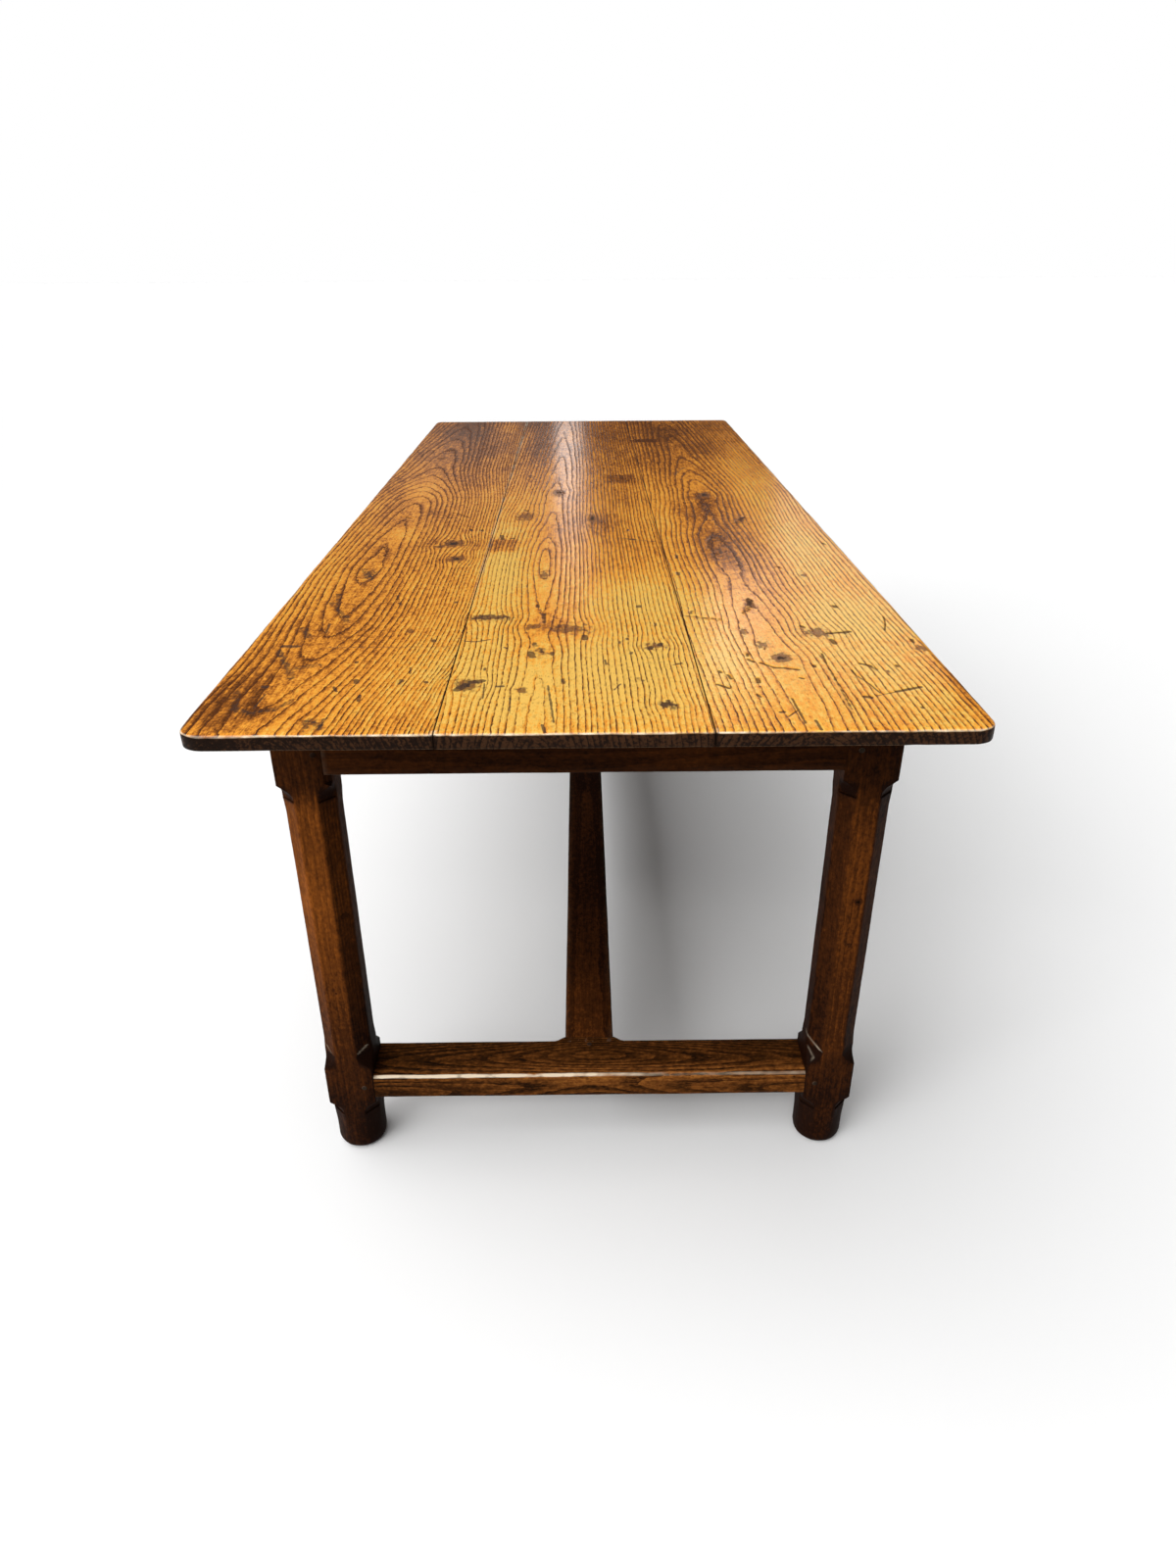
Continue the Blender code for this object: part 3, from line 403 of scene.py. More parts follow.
# %% The marks on the top
MARKS = (
    (-381, -828, -364, -829, 3.2, 1.0), (-370, -962, -366, -963, 2.2, 1.0),
    (-289, -964, -283, -978, 1.2, 0.9), (-267, -944, -266, -953, 2.6, 0.8),
    (-254, -990, -253, -1006, 1.6, 0.8), (-215, -945, -215, -956, 2.2, 0.7),
    (-186, -951, -185, -954, 2.0, 0.9), (-210, -905, -208, -925, 1.2, 0.8),
    (-194, -809, -194, -815, 2.2, 1.0), (-183, -650, -183, -654, 2.0, 0.9),
    (-361, -985, -363, -1024, 0.8, 1.0), (-342, -742, -339, -778, 1.2, 0.9),
    (-325, -833, -172, -834, 0.6, 0.6), (-301, -1058, -288, -1062, 1.4, 0.7),
    (-280, -1055, -279, -1080, 1.5, 0.7), (-278, -884, -278, -888, 1.8, 0.8),
    (-272, -618, -260, -662, 1.4, 0.6), (-203, -224, -200, -236, 2.2, 1.0),
    (-182, -230, -181, -240, 2.0, 1.0), (-250, -93, -238, -103, 0.9, 0.9),
    (-238, -103, -214, -136, 1.1, 0.9), (-372, -760, -356, -795, 3.4, 0.62),
    (-326, -712, -322, -735, 3.0, 0.68), (-383, -845, -356, -905, 2.8, 0.68),
    (-356, -905, -345, -935, 3.4, 0.62), (-350, -907, -324, -893, 3.6, 0.60),
    (-396, -975, -384, -1025, 3.0, 0.54), (-384, -1025, -366, -1037, 4.0, 0.66),
    (-366, -1037, -340, -1028, 3.4, 0.60), (-340, -1028, -325, -1000, 2.4, 0.58),
    (-358, -610, -345, -680, 2.4, 0.60), (-345, -680, -326, -715, 2.6, 0.62),
    (-346, -480, -336, -505, 3.2, 0.64), (-336, -505, -326, -532, 3.2, 0.66),
    (-326, -532, -321, -490, 2.0, 0.56), (-336, -128, -322, -140, 2.6, 0.56),
    (-147, -722, -128, -722, 6.5, 0.62), (-128, -722, -108, -722, 7.5, 0.56),
    (-157, -814, -140, -817, 1.2, 0.9), (-140, -817, -123, -809, 1.2, 0.9),
    (-147, -976, -139, -961, 4.0, 1.0), (-133, -953, -122, -950, 4.0, 1.0),
    (-102, -967, -97, -967, 2.2, 0.9), (-121, -910, -121, -915, 1.4, 0.9),
    (-103, -838, -99, -843, 1.2, 0.8), (-67, -668, -67, -677, 2.2, 1.0),
    (-57, -708, -57, -716, 2.2, 0.9), (-57, -722, -56, -745, 2.0, 0.65),
    (-69, -858, -66, -873, 3.2, 1.0), (-43, -858, -42, -868, 2.0, 0.8),
    (-57, -846, -56, -859, 4.5, 0.55), (-66, -825, -65, -835, 2.2, 0.7), (-2, -798, -2, -811, 3.0, 1.0),
    (-45, -966, -36, -1068, 0.9, 0.8), (-48, -1074, -45, -1092, 1.2, 1.0),
    (-28, -948, -28, -960, 1.8, 0.7), (-118, -958, -116, -1002, 0.7, 0.8),
    (-86, -1000, -84, -1042, 0.7, 0.8), (74, -676, 74, -680, 3.0, 1.0), (93, -830, 92, -835, 2.8, 1.0),
    (81, -842, 78, -850, 2.6, 0.9), (55, -860, 54, -865, 1.8, 0.9), (22, -885, 23, -900, 0.9, 0.9),
    (104, -903, 113, -899, 1.5, 0.8), (58, -944, 64, -952, 2.0, 0.6), (38, -962, 30, -980, 0.7, 0.8),
    (82, -1022, 93, -1029, 4.5, 0.66), (88, -1012, 87, -1020, 2.2, 0.9), (92, -752, 92, -760, 1.2, 0.9),
    (52, -808, 52, -814, 1.6, 0.9), (42, -822, 42, -828, 1.8, 0.8), (60, -294, 78, -302, 1.2, 0.9),
    (78, -304, 86, -308, 3.0, 1.0), (86, -308, 121, -322, 1.0, 0.9), (-144, -272, -141, -300, 3.0, 0.9),
    (-128, -293, -122, -292, 2.4, 0.8), (-112, -75, -108, -84, 2.5, 0.8), (79, -235, 77, -246, 1.6, 0.9),
    (139, -723, 152, -727, 2.0, 0.62), (152, -729, 180, -738, 2.0, 0.60),
    (146, -700, 143, -712, 1.2, 0.7), (283, -768, 285, -772, 2.4, 0.9), (311, -797, 341, -791, 2.2, 0.9),
    (333, -795, 340, -790, 2.8, 0.9), (311, -820, 312, -835, 2.4, 1.0), (345, -682, 346, -689, 2.6, 0.9),
    (401, -732, 396, -760, 0.7, 0.9), (396, -760, 388, -786, 0.7, 0.9), (412, -822, 412, -832, 1.8, 0.8),
    (208, -900, 222, -916, 1.7, 0.9), (222, -916, 234, -918, 2.2, 0.8),
    (234, -918, 248, -923, 2.4, 0.75), (197, -868, 196, -876, 1.4, 0.9),
    (195, -888, 200, -896, 1.8, 0.8), (270, -910, 270, -914, 1.8, 1.0), (327, -905, 336, -912, 2.0, 0.9),
    (336, -915, 340, -925, 1.4, 0.7), (368, -911, 368, -915, 1.8, 0.9), (311, -925, 312, -942, 0.8, 1.0),
    (312, -942, 320, -965, 0.7, 0.9), (320, -965, 326, -996, 0.7, 0.9),
    (307, -1006, 312, -1008, 2.6, 1.0), (320, -1004, 345, -993, 0.6, 0.8),
    (346, -992, 376, -979, 2.0, 1.0), (149, -967, 159, -978, 1.8, 1.0), (164, -938, 166, -950, 1.5, 0.8),
    (155, -925, 156, -930, 1.6, 0.8), (197, -950, 196, -962, 1.7, 0.7),
    (189, -998, 191, -1004, 1.2, 0.9), (206, -1046, 210, -1045, 1.8, 1.0),
    (224, -1043, 212, -1058, 0.7, 0.9), (246, -949, 249, -951, 1.8, 0.8),
    (225, -1010, 227, -1075, 0.9, 0.9), (239, -1068, 240, -1092, 1.1, 1.0),
    (361, -1036, 361, -1038, 1.6, 0.9), (288, -870, 286, -905, 1.0, 0.9),
    (286, -905, 284, -1040, 0.7, 0.7), (233, -650, 227, -685, 2.8, 0.66),
    (227, -685, 216, -711, 2.2, 0.66), (150, -412, 149, -428, 1.8, 1.0),
    (143, -512, 143, -524, 2.2, 1.0), (172, -262, 178, -268, 1.4, 0.8), (213, -401, 217, -403, 2.0, 1.0),
    (300, -482, 306, -490, 1.8, 0.7), (334, -218, 335, -226, 1.6, 0.8), (403, -340, 406, -348, 2.0, 0.8),
    (207, -372, 212, -325, 2.4, 0.62), (212, -325, 223, -296, 2.4, 0.64),
    (223, -296, 236, -330, 2.0, 0.58), (299, -146, 290, -162, 3.0, 0.64),
    (290, -162, 280, -190, 3.6, 0.60), (233, 345, 222, 320, 2.6, 0.62), (222, 320, 205, 262, 2.2, 0.60))
print(len(MARKS), "marks, from", min(mark[4] for mark in MARKS), "mm of half width up")


# %% [markdown]
# ## The hearts of the boards
# A board's heart line says where the middle of the tree ran under it: a place along the board, the
# place across it, and how many rings deep it lay. A straight line would draw plain stripes. Where
# the depth passes a whole number, a ring comes to the surface and closes in an arch, so the
# stops were read from the arches that the top shows.

# %% Heart lines
HEARTS = {
    "left": ((-1.10, -0.362, 12.6), (-1.037, -0.358, 12.0), (-0.897, -0.338, 11.0), (-0.80, -0.334, 10.0),
             (-0.733, -0.332, 9.1), (-0.49, -0.335, 7.7), (-0.125, -0.333, 9.0), (0.017, -0.333, 10.0),
             (0.067, -0.334, 11.0), (0.112, -0.335, 12.0), (0.157, -0.335, 13.0), (0.20, -0.336, 14.0),
             (0.26, -0.336, 15.0), (0.35, -0.337, 16.0), (0.57, -0.336, 17.0), (0.72, -0.334, 18.0),
             (1.10, -0.330, 19.6)),
    "middle": ((-1.10, -0.055, 2.3), (-0.933, -0.057, 3.0), (-0.85, -0.057, 3.7), (-0.72, -0.060, 3.0),
               (-0.58, -0.062, 2.1), (-0.44, -0.063, 1.5), (-0.35, -0.063, 2.0), (-0.28, -0.063, 3.0),
               (-0.10, -0.060, 4.0), (0.10, -0.055, 5.0), (0.30, -0.052, 5.5), (0.60, -0.050, 6.5),
               (1.10, -0.045, 8.0)),
    "right": ((-1.10, 0.240, 5.6), (-0.95, 0.236, 5.1), (-0.80, 0.230, 5.3), (-0.665, 0.228, 6.0),
              (-0.58, 0.227, 7.0), (-0.45, 0.226, 6.5), (-0.295, 0.225, 7.0), (-0.20, 0.228, 8.0),
              (0.07, 0.243, 8.1), (0.17, 0.242, 8.5), (0.224, 0.241, 9.0), (0.336, 0.240, 10.0),
              (0.50, 0.240, 11.0), (0.70, 0.238, 11.6), (1.10, 0.235, 13.2))}
RING_WIDTHS = {"left": 8.0 * MM, "middle": 7.0 * MM, "right": 7.4 * MM}
# How much narrower each board's outer rings are
NARROWING = {"left": 1.6, "middle": 0.35, "right": 0.15}
print({side: f"{width / MM:.1f} mm rings" for side, width in RING_WIDTHS.items()})


# %% [markdown]
# ## Patterns along the grain
# The top is old elm, golden where it is worn and brown where wax and dirt have sunk in. The frame
# is dark stained oak. Each could have a material built by hand, but the same steps make both with
# other tones. A wood starts from the numbers that its points keep. Its patterns are noise
# stretched along the grain, and they are added up, each with its share.

# %% Start a wood
ALONG_X, ALONG_Y, ALONG_Z = 0, 1, 2
# worn carries rubbed wear and painted highlights, and patch carries stain and painted shade
KEPT_NUMBERS = ("ring", "gap", "patch", "knot", "worn", "dirt", "mark")


def start_wood(name, along):
    """A new wood: its nodes, the place of each point and the numbers kept there."""
    material, tree, shader = new_material(name)
    kept = {number: add(tree, "Attribute", attribute_name=number).outputs["Fac"] for number in KEPT_NUMBERS}
    return SimpleNamespace(material=material, tree=tree, shader=shader, along=along,
                           place=add(tree, "TexCoord").outputs["Object"], **kept)


def stretched(wood, across, lengthways):
    return [lengthways if axis == wood.along else across for axis in range(3)]


def pattern(wood, across, lengthways, detail, kind="TexNoise", **settings):
    """A pattern with so many repeats per metre across the grain and along it."""
    moved = add(wood.tree, "Mapping", {"Vector": wood.place, "Scale": stretched(wood, across, lengthways)})
    return add(wood.tree, kind, {"Vector": moved, "Scale": 1.0, "Detail": detail}, **settings)


def added_up(wood, total, *layers):
    """A total with more layers added to it, each with its share."""
    for layer, share in layers:
        total = add(wood.tree, "Math", [layer, share, total], operation="MULTIPLY_ADD")
    return total


def rings_round(wood, middle, width):
    """Gives a small piece its own rings round a heart beside it."""
    moved = add(wood.tree, "Mapping", {"Vector": wood.place, "Scale": stretched(wood, 1 / width, 0.3 / width),
                                       "Location": [-value / width for value in middle]})
    wood.ring = add(wood.tree, "VectorMath", [moved], operation="LENGTH").outputs["Value"]
    wood.gap = width / MM


print("A wood reads", ", ".join(KEPT_NUMBERS), "from its points")


# %% [markdown]
# ## Rings as dark lines
# Elm and oak are ring-porous, so each ring starts with a row of large open pores. Wax blackens
# them, and they draw the dark lines. A line is sharp where its ring starts and soft behind. It
# wavers, and it breaks up into dashes, because a pore is a tube a few millimetres long. The part of
# a ring could be coloured straight from its number, but then a line would swell where the rings
# lie far apart. So the part is multiplied by the gap between rings, which makes it a length.

# %% Draw the ring lines
LINE_STOPS = ((0.0, 0.90), (0.012, 1.0), (0.090, 1.0), (0.125, 0.62), (0.175, 0.28), (0.26, 0.08),
              (0.38, 0.0))
# The colour ramp of a line runs over a centimetre of wood
PER_CENTIMETRE = 0.1


def ring_lines(wood, line_depth):
    """The dark lines, their pores, and how many millimetres each point lies behind its line."""
    tree = wood.tree
    # The lines waver over a hand's breadth, and their edges are ragged over a few millimetres
    years = added_up(wood, wood.ring, (pattern(wood, 11, 2.4, 2.0), 0.8), (pattern(wood, 38, 14, 2.0), 0.5),
                     (pattern(wood, 260, 70, 2.0), 0.30))
    year = add(tree, "Math", [years], operation="FLOOR")
    behind = add(tree, "Math", [years], operation="FRACT")
    # A line is thicker where the wood is stained or marked, and so its ramp runs slower there
    pace = add(tree, "MapRange", [added_up(wood, wood.patch, (wood.mark, 0.8)), -0.6, 0.9, 1.02, 0.47])
    for share in (wood.gap, pace):
        behind = add(tree, "Math", [behind, share], operation="MULTIPLY")
    part = add(tree, "Math", [behind, PER_CENTIMETRE], operation="MULTIPLY")
    line = add(tree, "ValToRGB", [part], stops=LINE_STOPS)
    # Some years are darker than others, and each line fades and comes back on its way
    luck = add(tree, "TexWhiteNoise", {"W": year}, noise_dimensions="1D").outputs["Value"]
    # Pores are tubes about 0.3 mm wide and 3 mm long, drawn some three times as large to show
    pores = add(tree, "MapRange", [pattern(wood, 540, 110, 1.5), 0.40, 0.56])
    for fading in ([luck, 0, 1, 0.68 * line_depth, line_depth],
                   [pattern(wood, 16, 7, 3.0), 0.34, 0.60, 0.68, 1.16], [pores, 0, 1, 0.45, 1.35]):
        line = add(tree, "Math", [line, add(tree, "MapRange", fading)], operation="MULTIPLY")
    return add(tree, "Clamp", [line]), pores, behind


print("A line fades out", LINE_STOPS[-1][0] / PER_CENTIMETRE, "mm behind its ring")


# %% [markdown]
# ## The tone between the lines
# Under its lines the wood is no single brown. Clouds of wax and sun tint it over a hand's
# breadth, fibres streak it, tool marks mottle it, and beside a line it is browner. These could be
# colours laid over each other, but mixed browns go grey. So they are added up to one number, and
# one colour ramp turns that into the tones from worn to stained.

# %% Tint the wood
MIDDLE_TONE = 0.49
FLANK = 4.2


def wood_tone(wood, tones, behind, line_depth, figure):
    """The colour between the lines, and the mottling that also roughens the wood."""
    mottle = pattern(wood, 150, 80, 3.0)
    shares = [(pattern(wood, 9, 3.6, 3.0), 0.42), (pattern(wood, 420, 16, 3.0), 0.46 * figure),
              (mottle, 0.58 * figure), (pattern(wood, 300, 220, 3.0), 0.50 * figure)]
    # Noise lies round a half, so half of every share is taken off again
    start = MIDDLE_TONE - sum(share for _, share in shares) / 2
    # Beside a line the wood is browner, and it pales over the next few millimetres
    flank = add(wood.tree, "MapRange", [behind, 0.0, FLANK, 1, 0])
    tone = added_up(wood, start, *shares, (wood.patch, 0.34), (flank, 0.24 * line_depth))
    return add(wood.tree, "ValToRGB", [tone], stops=tones), mottle


print("The wood pales over", FLANK, "mm behind a line")


# %% [markdown]
# ## Knots and specks
# A knot is brown, with a broken dark outline and a nearly black core. Specks are worm holes, ink
# and pulled fibres, one to a few centimetres of board. They could be listed like the knots, but
# there are hundreds and nobody knows one from another, so a cell pattern gives each a place and
# a size, and most cells none. A swirling noise makes all their edges uneven.

# %% Draw the knots and the specks
# How dark a knot is drawn, from its rim to its core
OUTLINE_STOPS = ((0.28, 0.0), (0.36, 0.75), (0.45, 0.15), (0.66, 0.25), (0.84, 0.9), (1.0, 1.0))
LARGEST_SPECK, LEAST_SPECK = 0.085, 0.002


def knots_and_scars(wood):
    """How brown the knots are, their dark outlines, and the dirt in specks and marks."""
    tree = wood.tree
    swirl = pattern(wood, 190, 120, 4.0)
    uneven = add(tree, "Math", [swirl, 0.5], operation="SUBTRACT")
    eye = added_up(wood, wood.knot, (uneven, 1.15))
    cells = pattern(wood, 56, 40, 0.0, "TexVoronoi", feature="F1").outputs
    luck = add(tree, "SeparateColor", [cells["Color"]]).outputs[0]
    reach = add(tree, "MapRange", [luck, 0.55, 1.0, 0.0, LARGEST_SPECK])
    border = add(tree, "Math", [reach, 0.055], operation="ADD")
    distance = added_up(wood, cells["Distance"], (swirl, 0.16))
    speck = add(tree, "Math", [distance, border], operation="LESS_THAN")
    for share in (add(tree, "Math", [reach, LEAST_SPECK], operation="GREATER_THAN"), 0.8):
        speck = add(tree, "Math", [speck, share], operation="MULTIPLY")
    mark = add(tree, "MapRange", [added_up(wood, wood.mark, (uneven, 1.2)), 0.38, 0.72])
    brown = add(tree, "MapRange", [eye, 0.08, 0.50, 0, 0.8])
    outline = add(tree, "ValToRGB", [eye], stops=OUTLINE_STOPS)
    return brown, outline, add(tree, "Math", [mark, speck], operation="MAXIMUM")


print("A speck reaches up to", LARGEST_SPECK, "of its cell")


# %% [markdown]
# ## Coats of colour and wax
# Now the parts are painted one over another, as the table got them: lines, knots and dirt in the
# wood, stain on the end grain, and last what hands and feet rubbed off, which also carries painted
# highlights on the rim, the left joint, the leg lips and the tread. The wax gives a satin shine
# that pores, marks and dirt interrupt. The pores could be cut in the mesh, but they are finer than
# its faces, so a bump makes the light believe in them.

# %% A sawn and waxed wood
# How deep the pores and the tool marks are on a polished top
RELIEF_DEPTH = 0.07 * MM


def coats_of(wood, colour, line, brown, outline, scar, coats):
    """Paints the coats over the wood's own colour."""
    tree, (line_tone, end_tone, knot_tone, rub_and_highlight_tone) = wood.tree, coats
    flecks = add(tree, "MapRange", [pattern(wood, 820, 150, 2.0), 0.60, 0.70, 0, 0.45])
    dirty = add(tree, "Math", [scar, 0.8], operation="MULTIPLY")
    # End grain drinks the stain, so faces square to the grain are the darkest
    facing = add(tree, "SeparateXYZ", [add(tree, "NewGeometry").outputs["Normal"]]).outputs[wood.along]
    square = add(tree, "Math", [facing], operation="ABSOLUTE")
    end_grain = add(tree, "MapRange", [square, 0.45, 0.85, 0.0, 0.8])
    # Hands and feet rub the stain off the arrises here and there: this coat also paints highlights
    places = add(tree, "MapRange", [pattern(wood, 60, 22, 3.0), 0.32, 0.66])
    rubbed = add(tree, "Math", [places, wood.worn], operation="MULTIPLY")
    for share, coat in ((line, line_tone), (flecks, line_tone), (brown, knot_tone), (outline, end_tone),
                        (dirty, end_tone), (end_grain, end_tone), (rubbed, rub_and_highlight_tone), (wood.dirt, end_tone)):
        colour = add(tree, "Mix", [share, colour, coat], data_type="RGBA")
    return colour


def waxed_wood(name, along, tones, coats, line_depth, roughness, gloss, polish=1.0, figure=1.0, heart=None):
    """Ring-porous wood under wax. Tones run from worn to stained. A heart is a place and a ring width."""
    wood = start_wood(name, along)
    if heart:
        rings_round(wood, *heart)
    line, pores, behind = ring_lines(wood, line_depth)
    colour, mottle = wood_tone(wood, tones, behind, line_depth, figure)
    brown, outline, scar = knots_and_scars(wood)
    colour = coats_of(wood, colour, line, brown, outline, scar, coats)
    dull = added_up(wood, roughness, (line, 0.20), (scar, 0.35), (wood.dirt, 0.60), (outline, 0.40),
                    (mottle, 0.10))
    relief = added_up(wood, 0.0, (line, -1.0), (pores, -0.3), (mottle, 1.2), (scar, -1.2), (outline, -1.0),
                      (pattern(wood, 45, 20, 2.0), 2.0))
    bump = add(wood.tree, "Bump", {"Strength": 1.0, "Distance": RELIEF_DEPTH * polish, "Height": relief})
    feed(wood.tree, wood.shader, {"Base Color": colour, "Roughness": dull, "Specular IOR Level": gloss,
                                  "Normal": bump})
    return wood.material


print("The bumps are up to", round(RELIEF_DEPTH / MM, 2), "mm deep for each layer")


# %% [markdown]
# ## The woods of this table
# The top is polished bright. Its edges are stained nearly black and its underside was never
# waxed, so each has its own material. One material for the whole board could tell its faces apart
# by where they look, but three plain ones are easier to change. The frame's oak is darker and
# duller, and needs one for each direction of the grain. Bearers and buttons keep no numbers on
# their points, so they find their own rings, from a heart beside them.

# %% Make the woods
ELM_TONES = ((0.31, "#FFCB62"), (0.45, "#FFB748"), (0.61, "#FCA43A"), (0.79, "#B56C28"), (1.0, "#5E3518"))
RIM_TONES = ((0.34, "#8E5E3C"), (0.60, "#3A2215"), (0.93, "#150B07"))
DRY_TONES = ((0.34, "#B0906A"), (0.60, "#86674A"), (0.93, "#54402E"))
OAK_TONES = ((0.30, "#B26423"), (0.50, "#844819"), (0.68, "#512A0F"), (0.90, "#200E06"))
TRODDEN_TONES = ((0.30, "#BA7532"), (0.50, "#885022"), (0.68, "#593212"), (0.90, "#251305"))
BEECH_TONES = ((0.34, "#D9B58A"), (0.60, "#B88F63"), (0.93, "#87623F"))

# Coats are the tones of the lines, of end grain and dirt, of knots, and of the rubbed arrises,
# which also carry painted highlights.
# Waxed elm: gold to brown with dark lines, and smooth enough to mirror a window
waxed_elm = waxed_wood("waxed_elm", ALONG_Y, ELM_TONES, ("#562A07", "#2C170A", "#85502A", "#FFF0D4"),
                       1.0, 0.12, 0.40, figure=1.1)
# Stained elm edges: nearly black and dull, with little to see but fibres
elm_edges = waxed_wood("stained_elm_edges", ALONG_Y, RIM_TONES, ("#150C07", "#1D120C", "#1D120C", "#8A6A4C"),
                       0.8, 0.30, 0.05, figure=1.9)
# Dry elm: never waxed, so it is greyish brown and matt
dry_elm = waxed_wood("dry_elm_underside", ALONG_Y, DRY_TONES, ("#4A3522", "#33241A", "#5F4530", "#A98C68"),
                     0.7, 0.75, 0.2)
# Stained oak: dark brown under old wax, a dull satin with faint lines along each piece
OAK_COATS, OAK_WAX = ("#1A0B05", "#140905", "#3F2110", "#F6E2C6"), (0.50, 0.028, 1.6)
stained_oak = {along: waxed_wood(name, along, OAK_TONES, OAK_COATS, lines, *OAK_WAX, figure=figure)
               for along, name, lines, figure in ((ALONG_X, "stained_oak_crossways", 0.35, 0.45),
                                                  (ALONG_Y, "stained_oak_lengthways", 0.45, 0.50),
                                                  (ALONG_Z, "stained_oak_upright", 0.28, 0.54))}
# Trodden oak: the same oak scuffed by shoes, so it is paler and its lines stand out
trodden_oak = waxed_wood("trodden_oak", ALONG_X, TRODDEN_TONES, ("#1C0E05", *OAK_COATS[1:]), 0.7, *OAK_WAX,
                         figure=0.8)
# Oak of the bearers: as the frame's, with rings round a heart under the middle of the top
bearer_oak = waxed_wood("stained_oak_bearers", ALONG_X, OAK_TONES, OAK_COATS, 0.50, *OAK_WAX, figure=0.6,
                        heart=((0, 0.02, 0.66), 4.5 * MM))
# Bare beech: pale, fine and matt, as it left the plane
bare_beech = waxed_wood("bare_beech", ALONG_Y, BEECH_TONES, ("#8A6440", "#6E4E33", "#8A6440", "#D9B58A"),
                        0.35, 0.6, 0.3, heart=((0, 0, 0.70), 2.0 * MM))
print("Materials:", len(bpy.data.materials))


# %% [markdown]
# ## Helpers for worn pieces
# Every piece of wood here is made in the same way: a plain shape is cut into many small faces,
# its points are moved a little to wear it, and it takes the place of its solid. Modifiers could
# do that too, but wear depends on where a point is, and plain Python can ask that. Numbers kept
# on the points tell the material where the rings, the stain and the wear are.

# %% Finish a piece
TOP = cad_box[1][2]
SHARP_ANGLE = math.radians(38)
CREASE_LEAN = 0.08
HAIR = 0.01 * MM


def finish_piece(bm, name, materials, node):
    """Makes the object, gives it its materials, hangs it on the root and hides its solid."""
    mesh = bpy.data.meshes.new(name)
    bm.to_mesh(mesh)
    bm.free()
    mesh.shade_smooth()
    mesh.set_sharp_from_angle(angle=SHARP_ANGLE)
    for material in materials:
        mesh.materials.append(material)
    made = bpy.data.objects.new(name, mesh)
    bpy.context.scene.collection.objects.link(made)
    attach(made, "root")
    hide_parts(node)
    return made


def places_of(verts):
    """The places of points, one to a row."""
    return np.array([vert.co for vert in verts])


def rough(place, fineness, seed):
    """Smooth noise between -1 and 1 that changes over 1 / fineness metres."""
    return noise.noise(Vector((place[0] * fineness + seed, place[1] * fineness, place[2] * fineness - seed)))


def crease_of(mesh):
    """How sharply the surface turns at each point, from 0 on a flat to 1 on an arris."""
    lean = np.zeros(len(mesh.vertices))
    for face in mesh.polygons:
        for corner in face.vertices:
            lean[corner] = max(lean[corner], 1 - face.normal.dot(mesh.vertices[corner].normal))
    return np.clip(lean / CREASE_LEAN, 0, 1)


def upper_arris(mesh):
    """1 along the middle of a rounded upper arris, and 0 on the flats beside it."""
    up = np.clip([vert.normal.z for vert in mesh.vertices], 0, 1)
    return np.clip((2 * up * np.sqrt(1 - up ** 2) - 0.55) / 0.3, 0, 1)


print("The top stands at", round(TOP, 3), "m")


# %% [markdown]
# ## Cutting tools
# A plane slices a solid across, a bevel breaks its arrises, and two small questions find the
# edges that a bevel needs. Edges could be found by their number, but that changes with every
# cut, and the place where an edge lies does not.

# %% Slice and bevel
def block(size, middle):
    """A plain block of a size round a middle."""
    bm = bmesh.new()
    bmesh.ops.create_cube(bm, size=1)
    bmesh.ops.scale(bm, vec=size, verts=bm.verts)
    bmesh.ops.translate(bm, vec=middle, verts=bm.verts)
    return bm


def slice_across(bm, axis, places, part=None):
    """Cuts the solid, or a part of it, with a plane at each place along an axis."""
    normal = [1 if number == axis else 0 for number in range(3)]
    for place in places:
        at = [place if number == axis else 0 for number in range(3)]
        whole = bm.verts[:] + bm.edges[:] + bm.faces[:]
        cut = bmesh.ops.bisect_plane(bm, geom=part or whole, dist=HAIR, plane_co=at, plane_no=normal)
        part = cut["geom"] if part else None


def bevel(bm, edges, width, segments):
    bmesh.ops.bevel(bm, geom=edges, offset=width, segments=segments, profile=0.5, affect="EDGES", material=-1)


def is_level(edge):
    return abs(edge.verts[0].co.z - edge.verts[1].co.z) < 0.1 * HAIR


def lies_on(edge, axis, value):
    return all(abs(vert.co[axis] - value) < HAIR for vert in edge.verts)


test_block = block((1, 1, 1), (0, 0, 0))
print("A block has", sum(is_level(edge) for edge in test_block.edges), "level edges")
test_block.free()


# %% [markdown]
# ## Fields of marks
# The marks and knots are lines and ovals on the top. Each point of a board asks how far it lies
# from them. A fine grid everywhere would be heavy, so only near them the board's grid is halved
# twice, down to a millimetre. A fine scratch then has points to be drawn on, while the rest of
# the board stays light.

# %% Marks, knots and patches as numbers on the points
# Darker marks are dirt in a cut, with a sharp edge: the others are smudges with a soft one
CUT_MARK = 0.7
# How fast a knot fades away from its middle
KNOT_FADE = 0.7
# The top is darker towards its far end, from a little before the middle on
FAR_DARKENING, DARKENING_START, DARKENING_RUN = 0.74, -0.22, 1.32
# The higher the power, the plainer the edge
SOFT_PATCH, PLAIN_STAIN = 2, 8


def away_from(spots, x0, y0, x1, y1):
    """How far each point lies from the line between two places."""
    start, run = np.array((x0, y0)), np.array((x1 - x0, y1 - y0))
    share = np.clip((spots - start) @ run / max(run @ run, 0.01), 0, 1)
    return np.linalg.norm(spots - start - share[:, None] * run, axis=1)


def mark_field(spots):
    """How dark the marks are at each point, with a soft edge."""
    field = np.zeros(len(spots))
    for x0, y0, x1, y1, half, dark in MARKS:
        soft = 0.8 + half * (0.5 if dark > CUT_MARK else 1.6)
        away = away_from(spots / MM, x0, y0, x1, y1)
        field = np.maximum(field, dark * np.clip((half + soft - away) / soft, 0, 1))
    return field


